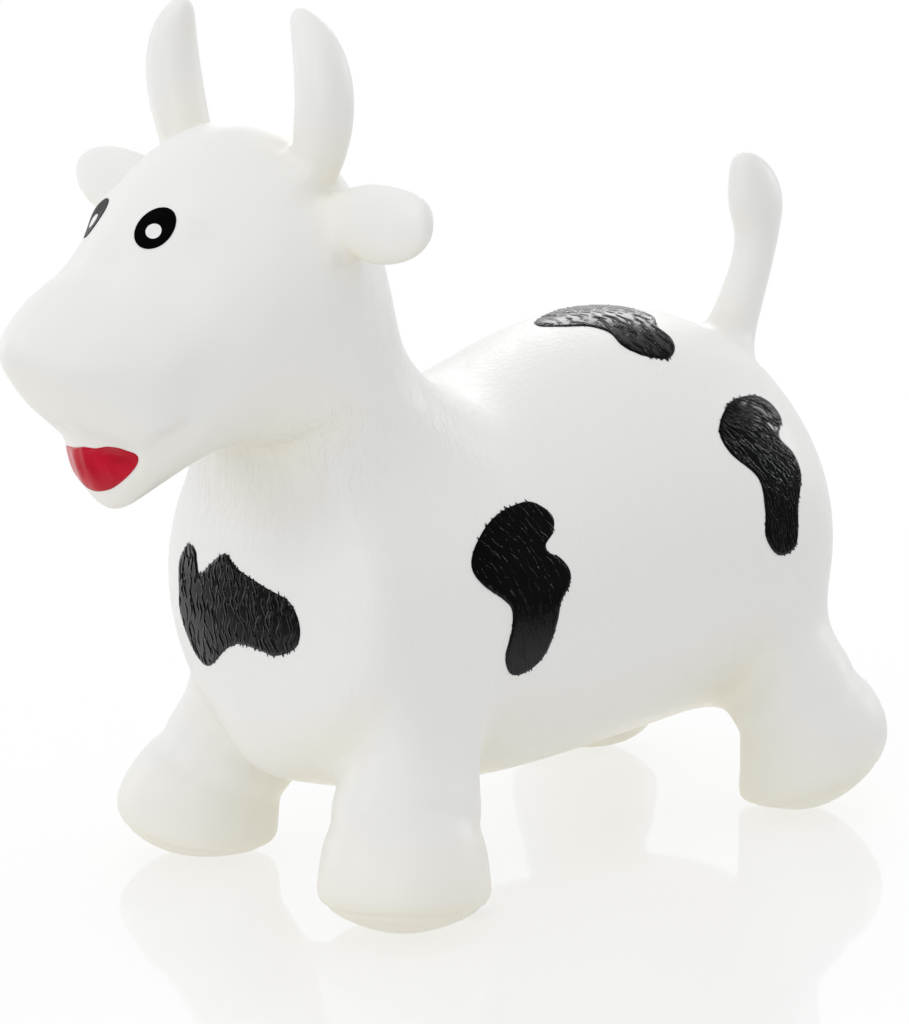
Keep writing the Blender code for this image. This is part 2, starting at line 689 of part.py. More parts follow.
def add_paint(toy, skin, cage, carriers, name, region, outlines, colour, place, across, up):
    """A film of paint over one region of the skin, inside an outline."""
    film = shell_mesh(skin, cage.number(region), CLEARANCE, CLEARANCE + PAINT, False)
    piece = toy.add(name, film, colour, PAINT_ROUGHNESS_SHARE, carriers[region])
    toy.cut(piece, toy.prism(f"{name}_outline", outlines, place, across, up), "INTERSECT")


def add_eyes(toy, skin, cage, carriers):
    ring = ellipse(EYE_WIDTH, EYE_HEIGHT)
    hole = ellipse(EYE_DOT, EYE_DOT)
    dot = ellipse(EYE_DOT - 2 * CLEARANCE, EYE_DOT - 2 * CLEARANCE)
    for name, side in SIDES.items():
        across, forwards, up = EYE_PLACE_SHARES
        place = head_point(across * side, forwards, up)
        facing = Vector((EYE_FACING_SHARES[0] * side, *EYE_FACING_SHARES[1:])).normalized()
        level = OUT_Z.cross(facing).normalized()
        upright = facing.cross(level)
        paint = (place, level, upright)
        add_paint(toy, skin, cage, carriers, f"eye_{name}", "head", [ring, hole], BLACK_SHARES, *paint)
        add_paint(toy, skin, cage, carriers, f"eye_dot_{name}", "head", [dot], WHITE_SHARES, *paint)


def add_patches(toy, skin, cage, carriers):
    mouth = head_point(0, 1, MOUTH_PLACE_SHARE)
    outline = [scaled(MOUTH_SHARES, (MOUTH_WIDTH, MOUTH_HEIGHT))]
    add_paint(toy, skin, cage, carriers, "mouth", "head", outline, RED_SHARES, mouth, OUT_X, OUT_Z)
    chest = torso_point(*CHEST_PLACE_SHARES)
    outline = [scaled(CHEST_SHARES, CHEST_PATCH)]
    add_paint(toy, skin, cage, carriers, "patch_chest", "torso", outline, BLACK_SHARES, chest, OUT_X, OUT_Z)
    back = torso_point(*BACK_PLACE_SHARES)
    outline = [scaled(BACK_SHARES, BACK_PATCH)]
    add_paint(toy, skin, cage, carriers, "patch_back", "torso", outline, BLACK_SHARES, back, OUT_X, OUT_Y)
    sides = (
        ("patch_flank_left", 1, FLANK_SHARES, FLANK_PATCH, FLANK_PLACE_SHARES),
        ("patch_rump_left", 1, RUMP_SHARES, RUMP_PATCH, RUMP_PLACE_SHARES),
        ("patch_flank_right", -1, RUMP_SHARES, FLANK_PATCH, RIGHT_FLANK_PLACE_SHARES),
        ("patch_rump_right", -1, FLANK_SHARES, RUMP_PATCH, RIGHT_RUMP_PLACE_SHARES),
    )
    for name, side, shares, size, place_shares in sides:
        place = torso_point(*place_shares)
        outline = [scaled(shares, size)]
        add_paint(toy, skin, cage, carriers, name, "torso", outline, BLACK_SHARES, place, OUT_Y * side, OUT_Z)


def add_valve(toy, skin, carriers, plug_axis):
    """The moulded boss through the belly's skin, and the stopper that is pushed into it."""
    place = Vector(plug_axis["place"])
    seat = place.z - CLEARANCE
    base = seat - VALVE_FLANGE_THICKNESS
    profile = [
        (VALVE_BORE / 2, place.z + VALVE_REACH), (VALVE_NECK / 2, place.z + VALVE_REACH),
        (VALVE_NECK / 2, seat), (VALVE_FLANGE / 2, seat), (VALVE_FLANGE / 2, base),
        (VALVE_BORE / 2, base),
    ]
    at_valve = Matrix.Translation((place.x, place.y, 0))
    mesh = turned("valve_boss", profile)
    mesh.transform(at_valve)
    toy.add("valve_boss", mesh, WHITE_SHARES, SKIN_ROUGHNESS_SHARE, carriers["torso"])
    shaft = VALVE_BORE / 2 - CLEARANCE
    head_top = base - CLEARANCE
    head_base = head_top - PLUG_HEAD_THICKNESS
    profile = [
        (0, head_top + PLUG_LENGTH), (shaft - PLUG_TAPER, head_top + PLUG_LENGTH),
        (shaft, head_top + PLUG_LENGTH - PLUG_TAPER), (shaft, head_top), (PLUG_HEAD / 2, head_top),
        (PLUG_HEAD / 2, head_base), (0, head_base),
    ]
    mesh = turned("valve_plug", profile)
    mesh.transform(at_valve)
    toy.add("valve_plug", mesh, WHITE_SHARES, SKIN_ROUGHNESS_SHARE, plug_axis)
    cutter = bpy.data.objects.new("valve_hole", turned("valve_hole", [
        (0, OVERRUN), (VALVE_NECK / 2 + CLEARANCE, OVERRUN), (VALVE_NECK / 2 + CLEARANCE, -OVERRUN),
        (0, -OVERRUN)]))
    cutter.location = place
    toy.guides.objects.link(cutter)
    toy.cut(bpy.data.objects["torso"], cutter, "DIFFERENCE")


def belly_point(skin):
    """The valve's place: under the belly, level with the lowest skin above its flange."""
    surface = BVHTree.FromBMesh(skin)
    start = Vector((0, VALVE_PLACE_SHARE * TORSO_LENGTH, 0))
    rim = [start + Vector((u, v, 0)) for u, v in ellipse(VALVE_FLANGE, VALVE_FLANGE)]
    heights = [surface.ray_cast(point, OUT_Z)[0].z for point in [start] + rim]
    return start + OUT_Z * min(heights)


def ring_centre(ovals, number):
    return ovals[number](0, 0)


def build():
    cage = grow_cage()
    skin = smooth_skin(cage)
    toy = Toy()
    reach = [vert.co.y for vert in skin.verts]
    root = toy.axis("root", Vector())
    root.location.y = -(min(reach) + max(reach)) / 2
    neck = head_sections()[0]
    bounce = toy.axis("bounce_axis", Vector(), root)
    nod = toy.axis("head_nod_axis", (neck.top + neck.bottom) / 2, bounce)
    wag = toy.axis("tail_flex_axis", ring_centre(tail_ovals(), 1), bounce)
    plug = toy.axis("plug_pull_axis", belly_point(skin), bounce)
    carriers = {name: bounce for name in cage.names}
    carriers.update({name: root for name in cage.names if name.startswith("foot_")})
    carriers["tail"] = wag
    for name in cage.names:
        if name.startswith(("head", "horn_root", "ear_root")):
            carriers[name] = nod
    for name, side in SIDES.items():
        horn = ring_centre(horn_ovals(side), 0)
        ear = ring_centre(ear_ovals(side), 1)
        carriers[f"horn_{name}"] = toy.axis(f"horn_{name}_flex_axis", horn, nod)
        carriers[f"ear_{name}"] = toy.axis(f"ear_{name}_flex_axis", ear, nod)
    add_skin(toy, skin, cage, carriers)
    add_valve(toy, skin, carriers, plug)
    add_eyes(toy, skin, cage, carriers)
    add_patches(toy, skin, cage, carriers)
    skin.free()
    cage.mesh.free()


for existing in list(bpy.data.objects):
    bpy.data.objects.remove(existing)
build()
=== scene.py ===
# %% [markdown]
# # A bouncy ride-on cow
#
# The toy is one soft moulding of white vinyl, blown up with air, with a red mouth, two ringed
# eyes and black patches painted on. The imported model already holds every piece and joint. This
# lesson dresses it: it grows the same animal once more, finely, so that it looks like the toy.

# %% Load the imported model
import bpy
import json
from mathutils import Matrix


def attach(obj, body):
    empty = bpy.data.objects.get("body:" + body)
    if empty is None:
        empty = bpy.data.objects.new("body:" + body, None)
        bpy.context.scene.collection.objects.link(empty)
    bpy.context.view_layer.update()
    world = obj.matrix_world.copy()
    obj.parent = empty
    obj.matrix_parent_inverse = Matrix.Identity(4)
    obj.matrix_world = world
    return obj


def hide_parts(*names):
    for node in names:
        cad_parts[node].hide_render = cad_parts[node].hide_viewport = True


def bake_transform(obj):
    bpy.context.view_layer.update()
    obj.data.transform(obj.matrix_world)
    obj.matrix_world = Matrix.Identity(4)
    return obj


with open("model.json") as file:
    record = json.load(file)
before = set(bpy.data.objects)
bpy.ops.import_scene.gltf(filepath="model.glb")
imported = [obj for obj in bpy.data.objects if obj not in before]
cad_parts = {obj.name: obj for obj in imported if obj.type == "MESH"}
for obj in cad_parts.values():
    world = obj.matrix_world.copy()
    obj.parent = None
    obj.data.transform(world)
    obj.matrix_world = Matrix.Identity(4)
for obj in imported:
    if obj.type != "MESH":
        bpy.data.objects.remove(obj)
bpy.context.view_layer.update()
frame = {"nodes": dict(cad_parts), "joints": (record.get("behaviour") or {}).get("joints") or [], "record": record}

# %% [markdown]
# ## Camera
#
# The photograph looks at the toy's left front corner from a little above. A long lens keeps the
# near and far feet almost the same size. A place, an azimuth and an elevation fix a camera fully,
# so it is turned by hand from these numbers, without a target object.

# %% Camera
import json
import math
import random
from typing import NamedTuple

import bmesh
import bpy
import numpy as np
from mathutils import Matrix, Vector
from mathutils.bvhtree import BVHTree

CAMERA_PLACE = Vector((1.3486, -1.22906, 0.6197))
CAMERA_AZIMUTH = math.radians(47.2589)
CAMERA_ELEVATION = math.radians(12.9495)
CAMERA_LENS = 116.08
SENSOR_WIDTH = 36


def in_scene(name, data):
    """A new object at the origin, put into the scene."""
    made = bpy.data.objects.new(name, data)
    bpy.context.scene.collection.objects.link(made)
    return made


camera_data = bpy.data.cameras.new("camera")
camera_data.lens = CAMERA_LENS
camera_data.sensor_width = SENSOR_WIDTH
camera = in_scene("camera", camera_data)
right = Vector((math.cos(CAMERA_AZIMUTH), math.sin(CAMERA_AZIMUTH), 0))
back = Vector((math.sin(CAMERA_AZIMUTH) * math.cos(CAMERA_ELEVATION),
               -math.cos(CAMERA_AZIMUTH) * math.cos(CAMERA_ELEVATION), math.sin(CAMERA_ELEVATION)))
turn = Matrix((right, back.cross(right), back)).transposed()
camera.matrix_world = Matrix.Translation(CAMERA_PLACE) @ turn.to_4x4()
bpy.context.scene.camera = camera
print("camera", round(CAMERA_PLACE.length, 3), "m from the toy's middle")

# %% [markdown]
# ## Node helpers
#
# Every finish below is a small network of shader nodes. `node` adds one with its values and its
# links, and shorter forms of it serve for the sums, ranges and mixtures that come back most. A
# material starts around a Principled shader, whose plain numbers are set on its own sockets.

# %% Node helpers
WHITE = (1, 1, 1, 1)


def node(tree, kind, inputs=None, **settings):
    """A new node, each input a plain value or the output of another node."""
    made = tree.nodes.new("ShaderNode" + kind)
    for name, value in settings.items():
        setattr(made, name, value)
    for name, value in (inputs or {}).items():
        if isinstance(value, bpy.types.NodeSocket):
            tree.links.new(value, made.inputs[name])
        else:
            made.inputs[name].default_value = value
    return made


def maths(tree, operation, first, second, **settings):
    return node(tree, "Math", {0: first, 1: second}, operation=operation, **settings).outputs[0]


def vector(tree, operation, *inputs):
    made = node(tree, "VectorMath", dict(enumerate(inputs)), operation=operation)
    return made.outputs["Value" if operation in ("LENGTH", "DOT_PRODUCT") else "Vector"]


def ranged(tree, value, start, end, low=0.0, high=1.0, smooth=False):
    """How far a value has come from start to end, as a number from low to high."""
    inputs = {"Value": value, "From Min": start, "From Max": end, "To Min": low, "To Max": high}
    bend = "SMOOTHSTEP" if smooth else "LINEAR"
    return node(tree, "MapRange", inputs, interpolation_type=bend).outputs[0]


def glow(tree, strength):
    return node(tree, "Emission", {"Color": WHITE, "Strength": strength}).outputs[0]


def mixed(tree, share, first, second):
    """The second shader over the first."""
    return node(tree, "MixShader", {0: share, 1: first, 2: second}).outputs[0]


def mixed_colour(tree, share, first, second):
    return node(tree, "Mix", {0: share, 6: first, 7: second}, data_type="RGBA").outputs[2]


def new_material(name, **values):
    material = bpy.data.materials.new(name)
    material.use_nodes = True
    shader = material.node_tree.nodes["Principled BSDF"]
    for socket, value in values.items():
        shader.inputs[socket.replace("_", " ")].default_value = value
    return material, material.node_tree, shader


print("node helpers ready")

# %% [markdown]
# ## Floor, backdrop and lamps
#
# The toy stands on a polished white light table in a white room. The table glows through its
# white sheet, which brightens the belly and the soles from below, and its gloss shows a soft
# mirror image near the feet. With distance the glow takes over, as far as the camera sees it.

# %% Floor and backdrop
FLOOR_SIZE = 6.0
FLOOR_DROP = 0.0004
FLOOR_SHEET = (0.93, 0.93, 0.925, 1)
FLOOR_ROUGHNESS = 0.06
GLOW_SHARE = 0.74
GLOSS_SHARE = 0.24
GLOW_FADE = (0.30, 1.05)
MIRROR_FADE = (0.35, 0.80)
BRIGHT_SIDE = (-0.85, 0.53, 0.0)
FULLY_BRIGHT = 0.80
DARK_WALL = 0.06
FAR_FLOOR = 1.2
ROOM_LIGHT = 0.78


def as_mesh(name, shape):
    """The finished shape as a mesh, after which its bmesh is given up."""
    mesh = bpy.data.meshes.new(name)
    shape.to_mesh(mesh)
    shape.free()
    return mesh


def studio_side(tree, direction, brightest=1.0):
    """How bright the room is in a flat direction: white behind the toy, dark in front of it."""
    towards = vector(tree, "DOT_PRODUCT", direction, BRIGHT_SIDE)
    return ranged(tree, towards, 0.0, FULLY_BRIGHT, DARK_WALL, brightest, smooth=True)


floor_shape = bmesh.new()
bmesh.ops.create_grid(floor_shape, x_segments=2, y_segments=2, size=FLOOR_SIZE)
bmesh.ops.translate(floor_shape, verts=floor_shape.verts, vec=(0, 0, -FLOOR_DROP))
floor = in_scene("floor", as_mesh("floor", floor_shape))

acrylic = bpy.data.materials.new("white_acrylic")
acrylic.use_nodes = True
tree = acrylic.node_tree
tree.nodes.clear()
seen = node(tree, "LightPath")
place = node(tree, "TexCoord").outputs["Object"]
distance = vector(tree, "LENGTH", place)
sheet = node(tree, "BsdfDiffuse", {"Color": FLOOR_SHEET}).outputs[0]
gloss = node(tree, "BsdfGlossy", {"Color": WHITE, "Roughness": FLOOR_ROUGHNESS}).outputs[0]
polished = mixed(tree, GLOSS_SHARE, mixed(tree, GLOW_SHARE, sheet, glow(tree, 1.0)), gloss)
fade = ranged(tree, distance, *GLOW_FADE, smooth=True)
far_off = maths(tree, "MULTIPLY", fade, seen.outputs["Is Camera Ray"])
bright = mixed(tree, far_off, polished, glow(tree, 1.0))
aside = ranged(tree, distance, *MIRROR_FADE)
dimmed = maths(tree, "MULTIPLY", aside, seen.outputs["Is Glossy Ray"])
shade = glow(tree, studio_side(tree, vector(tree, "NORMALIZE", place), FAR_FLOOR))
node(tree, "OutputMaterial", {"Surface": mixed(tree, dimmed, bright, shade)})
floor.data.materials.append(acrylic)

world = bpy.data.worlds.new("white_room")
bpy.context.scene.world = world
world.use_nodes = True
tree = world.node_tree
tree.nodes.clear()
seen = node(tree, "LightPath")
shiny = maths(tree, "MAXIMUM", seen.outputs["Is Camera Ray"], seen.outputs["Is Glossy Ray"])
shiny = maths(tree, "MAXIMUM", shiny, seen.outputs["Is Transmission Ray"])
wall = studio_side(tree, node(tree, "TexCoord").outputs["Generated"])
walls = ranged(tree, seen.outputs["Is Camera Ray"], 0.0, 1.0, wall, 1.0)
strength = ranged(tree, shiny, 0.0, 1.0, ROOM_LIGHT, walls)
room = node(tree, "Background", {"Color": WHITE, "Strength": strength})
node(tree, "OutputWorld", {"Surface": room.outputs[0]})
print("floor", FLOOR_SIZE * 2, "m across")

# %% Lamps
TOY_MIDDLE = (0, 0, 0.22)
LAMPS = {
    "top_softbox": ((0.1, -0.2, 1.9), TOY_MIDDLE, (1.6, 1.6), 5),
    "left_strip": ((-0.6, -1.9, 0.9), TOY_MIDDLE, (0.12, 0.9), 3.8),
    "front_strip": ((1.0, -1.8, 0.7), TOY_MIDDLE, (0.08, 1.0), 3.4),
    "right_strip": ((0.6, 2.2, 0.8), TOY_MIDDLE, (0.12, 0.9), 5),
    "side_card": ((-0.9, -0.45, 0.27), (-0.05, -0.27, 0.2), (0.14, 0.5), 0.4),
    "back_softbox": ((-1.35, 1.44, 1.35), TOY_MIDDLE, (1.2, 0.6), 8),
}
for name, (place, target, size, power) in LAMPS.items():
    data = bpy.data.lights.new(name, "AREA")
    data.shape = "RECTANGLE"
    data.size, data.size_y = size
    data.energy = power
    lamp = in_scene(name, data)
    lamp.location = place
    lamp.rotation_euler = (Vector(target) - Vector(place)).to_track_quat("-Z", "Y").to_euler()
bpy.data.objects["top_softbox"].visible_glossy = False
bpy.context.scene.view_settings.view_transform = "Standard"
print("lamps", list(LAMPS))

# %% [markdown]
# ## How a cage places its corners
#
# The whole animal grows from one grid of 4 by 4 faces. Each time the grid is extruded, its 25
# corners move to the next cross-section. Sixteen corners lie on the section's outline and nine
# inside it, so the last grid closes the end as a dome. Limbs grow the same way from 2 by 2
# faces. Subdivision smooths the coarse cage later, and smoothing shrinks a ring a little, so
# each ring is widened by as much beforehand.

# %% Cross-sections
LATTICE = 4
RING_OF_16_SHARE = 3 / (2 + math.cos(math.tau / 16))
RING_OF_8_SHARE = 3 / (2 + math.cos(math.tau / 8))
DOME_SHARE = 36 / 16
OUT_X, OUT_Y, OUT_Z = Vector((1, 0, 0)), Vector((0, 1, 0)), Vector((0, 0, 1))
SIDES = {"left": 1, "right": -1}


class Section(NamedTuple):
    """One cross-section, named by its top and bottom points, and how it differs from an oval."""
    top: Vector
    bottom: Vector
    half_width: float
    low_share: float = 1.0
    high_share: float = 1.0
    square_share: float = 1.0
    full_share: float = 0.0
    lift: float = 0.0


def lattice_angle(column, row):
    """Angle round the ring, from its top, of a corner of the square grid."""
    size = max(abs(column), abs(row))
    if size == 0:
        return 0.0
    if row == size:
        return math.radians(45 * column / size)
    if column == size:
        return math.radians(90 - 45 * row / size)
    if row == -size:
        return math.radians(180 - 45 * column / size)
    return math.radians(270 + 45 * row / size)


def section_point(section, column, row, bulge=0.0, outward=OUT_Y, lean=0.0):
    """Where one corner of the grid lies on a section."""
    share = max(abs(column), abs(row)) / (LATTICE / 2)
    angle = lattice_angle(column, row)
    angle -= math.radians(section.lift) * math.sin(angle)
    up, across = math.cos(angle), math.sin(angle)
    width = 1 + (section.high_share - 1) * max(0, up) + (section.low_share - 1) * max(0, -up)
    height = up if up > 0 else -abs(up) ** section.square_share
    swell = share * RING_OF_16_SHARE * (1 + section.full_share * abs(math.sin(2 * angle)))
    middle = (section.top + section.bottom) / 2
    half_height = (section.top - section.bottom) / 2
    point = middle + half_height * height * swell
    point += OUT_X * (section.half_width * across * width * swell)
    tilt = lean * up if 0 < share < 1 else 0.0
    return point + outward * (bulge * (1 - share ** 4) + tilt)


def oval(centre, axis_i, axis_k, bulge):
    """The function that places the 3 by 3 corners of a limb's ring or domed end."""
    def place_corner(i, k):
        share = max(abs(i), abs(k))
        angle = lattice_angle(i, k)
        spread = (axis_i * math.sin(angle) + axis_k * math.cos(angle)) * RING_OF_8_SHARE * share
        return centre + spread + bulge * (1 - share)
    return place_corner


print("rings widened by", round(RING_OF_16_SHARE, 3), "and limbs by", round(RING_OF_8_SHARE, 3))

# %% [markdown]
# ## The growing cage
#
# `extrude_face_region` is the one modelling operator that the body needs. A face layer remembers
# which piece of the toy each new face belongs to, and two vertex layers remember each corner's
# column and row, so that a corner knows its place at every new section.

# %% The growing cage
RING_CORNERS = [(0, 2), (1, 2), (2, 2), (2, 1), (2, 0), (2, -1), (2, -2), (1, -2), (0, -2)]


def ring_corner(slot, side):
    column, row = RING_CORNERS[abs(slot)]
    return (column * side if slot >= 0 else -column * side), row


def with_edges(faces):
    edges = {edge for face in faces for edge in face.edges}
    verts = {vert for face in faces for vert in face.verts}
    return list(faces) + list(edges) + list(verts)


class Cage:
    """The coarse animal, and the name of the piece that each face belongs to."""

    def __init__(self):
        self.shape = bmesh.new()
        self.column = self.shape.verts.layers.int.new("column")
        self.row = self.shape.verts.layers.int.new("row")
        self.piece = self.shape.faces.layers.int.new("piece")
        self.names = []

    def number(self, name):
        if name not in self.names:
            self.names.append(name)
        return self.names.index(name)

    def extrude(self, faces, name):
        result = bmesh.ops.extrude_face_region(self.shape, geom=with_edges(faces))
        verts = [item for item in result["geom"] if isinstance(item, bmesh.types.BMVert)]
        raised = [item for item in result["geom"] if isinstance(item, bmesh.types.BMFace)]
        for vert in verts:
            for face in vert.link_faces:
                face[self.piece] = self.number(name)
        return raised, verts

    def tube(self, faces, sections, names, cap):
        rings = []
        for count, (section, name) in enumerate(zip(sections, names), 1):
            faces, verts = self.extrude(faces, name)
            bulge = cap if count == len(sections) else ()
            for vert in verts:
                vert.co = section_point(section, vert[self.column], vert[self.row], *bulge)
            rings.append({(vert[self.column], vert[self.row]): vert for vert in verts})
        return rings

    def patch(self, rings, stations, slots, side):
        corners = [[rings[station][ring_corner(slot, side)] for slot in slots]
                   for station in stations]
        faces = []
        for here, ahead in zip(corners, corners[1:]):
            for four in zip(here, ahead, ahead[1:], here[1:]):
                faces += [face for face in four[0].link_faces if set(face.verts) == set(four)]
        return corners, faces

    def grow(self, rings, stations, slots, side, ovals, names):
        corners, faces = self.patch(rings, stations, slots, side)
        for i, line in enumerate(corners):
            for k, vert in enumerate(line):
                vert[self.column] = i - 1
                vert[self.row] = k - 1
        for place_corner, name in zip(ovals, names):
            faces, verts = self.extrude(faces, name)
            for vert in verts:
                vert.co = place_corner(vert[self.column], vert[self.row])


print("corners down one side of a ring", len(RING_CORNERS))

# %% [markdown]
# ## Torso
#
# The torso is a barrel with a sagging back for a seat. Each row of the table is one section from
# rump to chest: where its top and bottom lie along the length and up the height, and its half
# width. All are shares, so that the barrel's length, height and width stay three plain sizes.

# %% Torso
TORSO_LENGTH = 0.400
TORSO_HEIGHT = 0.260
TORSO_WIDTH = 0.224
BELLY_HEIGHT = 0.044
RUMP_BULGE = 0.016
CHEST_BULGE = 0.010
TORSO_FULL_SHARE = 0.02
TORSO_SHARES = [
    (0.480, 0.675, 0.500, 0.220, 0.535),
    (0.465, 0.765, 0.475, 0.095, 0.780),
    (0.430, 0.850, 0.385, 0.045, 0.905),
    (0.360, 0.930, 0.290, 0.030, 0.975),
    (0.255, 0.990, 0.180, 0.020, 1.000),
    (0.140, 0.995, 0.070, 0.010, 0.990),
    (0.030, 0.955, -0.035, 0.005, 0.975),
    (-0.075, 0.900, -0.115, 0.005, 0.955),
    (-0.170, 0.875, -0.195, 0.015, 0.940),
    (-0.260, 0.890, -0.280, 0.030, 0.930),
    (-0.345, 0.890, -0.360, 0.050, 0.895),
    (-0.420, 0.860, -0.435, 0.110, 0.850),
    (-0.470, 0.815, -0.485, 0.210, 0.765),
]

sections = []
for top_y, top_z, bottom_y, bottom_z, width in TORSO_SHARES:
    top = Vector((0, top_y * TORSO_LENGTH, BELLY_HEIGHT + top_z * TORSO_HEIGHT))
    bottom = Vector((0, bottom_y * TORSO_LENGTH, BELLY_HEIGHT + bottom_z * TORSO_HEIGHT))
    sections.append(Section(top, bottom, width * TORSO_WIDTH / 2, full_share=TORSO_FULL_SHARE))

cage = Cage()
cage.number("torso")
bmesh.ops.create_grid(cage.shape, x_segments=LATTICE, y_segments=LATTICE, size=LATTICE / 2)
for vert in cage.shape.verts:
    vert[cage.column] = round(vert.co.x)
    vert[cage.row] = round(vert.co.y)
    vert.co = section_point(sections[0], vert[cage.column], vert[cage.row], RUMP_BULGE)
rump = {(vert[cage.column], vert[cage.row]): vert for vert in cage.shape.verts}
names = ["torso"] * (len(sections) - 1)
torso_rings = [rump] + cage.tube(list(cage.shape.faces), sections[1:], names, (CHEST_BULGE, -OUT_Y))
print("torso faces", len(cage.shape.faces))

# %% [markdown]
# ## Neck and head
#
# The neck grows out of the front of the back. Towards the muzzle the sections lean forwards, get
# narrower below the brow and squarer at the jaw, and the last one bulges out as the nose.

# %% Neck and head
HEAD_LENGTH = 0.190
HEAD_HEIGHT = 0.195
HEAD_WIDTH = 0.168
MUZZLE_BULGE = 0.042
MUZZLE_LEAN = 0.025
HEAD_BACK = -0.2725 * TORSO_LENGTH
JAW_HEIGHT = BELLY_HEIGHT + 0.745 * TORSO_HEIGHT
HEAD_SHARES = [
    (0.000, 0.310, 0.505, 0.135, 0.855, 0.95, 1.00, 0.90, 0),
    (0.070, 0.480, 0.565, 0.125, 0.895, 0.90, 1.00, 0.85, 6),
    (0.110, 0.675, 0.635, 0.125, 0.940, 0.84, 1.00, 0.80, 12),
    (0.200, 0.845, 0.700, 0.115, 0.990, 0.76, 1.00, 0.80, 18),
    (0.325, 0.960, 0.755, 0.090, 1.000, 0.68, 1.00, 0.75, 20),
    (0.460, 1.000, 0.805, 0.065, 0.975, 0.60, 1.00, 0.70, 20),
    (0.595, 0.990, 0.855, 0.035, 0.930, 0.54, 0.85, 0.70, 16),
    (0.760, 0.925, 0.900, 0.010, 0.835, 0.50, 0.70, 0.70, 10),
    (0.870, 0.805, 0.935, 0.000, 0.760, 0.46, 0.60, 0.70, 4),
    (1.000, 0.685, 0.985, 0.030, 0.715, 0.44, 0.70, 0.70, 0),
]


def head_point(across, forwards, up):
    """A place in shares of the head: half its width, its length and its height."""
    return Vector((across * HEAD_WIDTH / 2, HEAD_BACK - forwards * HEAD_LENGTH,
                   JAW_HEIGHT + up * HEAD_HEIGHT))


corners, faces = cage.patch(torso_rings, (8, 9, 10, 11, 12), (-2, -1, 0, 1, 2), 1)
for i, line in enumerate(corners):
    for k, vert in enumerate(line):
        vert[cage.column] = k - LATTICE // 2
        vert[cage.row] = LATTICE // 2 - i
sections = []
for top_y, top_z, bottom_y, bottom_z, width, low, high, square, lift in HEAD_SHARES:
    top, bottom = head_point(0, top_y, top_z), head_point(0, bottom_y, bottom_z)
    sections.append(Section(top, bottom, width * HEAD_WIDTH / 2, low, high, square, 0.0, lift))
names = ["neck"] * 2 + ["head"] * (len(sections) - 2)
head_rings = cage.tube(faces, sections, names, (MUZZLE_BULGE, -OUT_Y, MUZZLE_LEAN))
neck_middle = (sections[0].top + sections[0].bottom) / 2
print("with neck and head", len(cage.shape.faces))

# %% [markdown]
# ## Legs and feet
#
# Four stubby legs splay out diagonally from the belly's corners. They flare at the ankle, taper
# again towards the floor, and end in a shallow domed sole.

# %% Legs and feet
FOOT_WIDTH = 0.096
SOLE_RIM = 0.0055
SOLE_CUT = 0.0005
LEGS = {
    "front": dict(fore=-1, apart=0.176, place=-0.4075 * TORSO_LENGTH,
                  top=BELLY_HEIGHT + 0.10 * TORSO_HEIGHT, stations=(9, 10, 11), sole=(-0.03, 0.64),
                  rings=[(-0.52, 0.960, 0.80, 0.85, 46), (-0.06, 0.600, 0.91, 0.97, 15),
                         (0.04, 0.390, 0.98, 0.99, 11), (0.05, 0.225, 1.00, 1.00, 10)]),
    "rear": dict(fore=1, apart=0.196, place=0.4025 * TORSO_LENGTH,
                 top=BELLY_HEIGHT + 0.14 * TORSO_HEIGHT, stations=(1, 2, 3), sole=(-0.24, 0.56),
                 rings=[(-0.45, 1.010, 0.79, 0.80, 38), (-0.08, 0.650, 0.95, 0.92, 23),
                        (-0.03, 0.430, 1.01, 0.99, 22), (-0.05, 0.240, 0.98, 0.98, 19)]),
}


def leg_ovals(side, leg):
    outward = Vector((side, leg["fore"], 0)).normalized()
    foot = Vector((side * leg["apart"] / 2, leg["place"], 0))
    ovals = []
    for offset, height, width, depth, turn in leg["rings"]:
        centre = foot + outward * (offset * FOOT_WIDTH / 2) + OUT_Z * (height * leg["top"])
        spin = Matrix.Rotation(math.radians(-turn), 3, OUT_Z.cross(outward))
        axis_i = spin @ OUT_Y * (-depth * FOOT_WIDTH / 2)
        axis_k = spin @ OUT_X * (-width * side * FOOT_WIDTH / 2)
        ovals.append(oval(centre, axis_i, axis_k, Vector()))
    inset, size = leg["sole"]
    rim = foot + outward * (inset * FOOT_WIDTH / 2) + OUT_Z * SOLE_RIM
    half = size * FOOT_WIDTH / 2
    dome = OUT_Z * (-(SOLE_RIM + SOLE_CUT) * DOME_SHARE)
    ovals.append(oval(rim, OUT_Y * -half, OUT_X * (-half * side), dome))
    return ovals


for name, side in SIDES.items():
    for end, leg in LEGS.items():
        names = [f"leg_{end}_{name}"] * 2 + [f"foot_{end}_{name}"] * 3
        cage.grow(torso_rings, leg["stations"], (5, 6, 7), side, leg_ovals(side, leg), names)
print("with legs", len(cage.shape.faces))

# %% [markdown]
# ## Horns, ears and tail
#
# These are the same kind of limb: a table of ovals along a bent line. A row says where an oval
# lies, how thick and how wide it is, all in shares, and how far it is turned. The horns curve
# outwards and then in, the ears hang out sideways as flat lobes, and the tail ends in a knob.

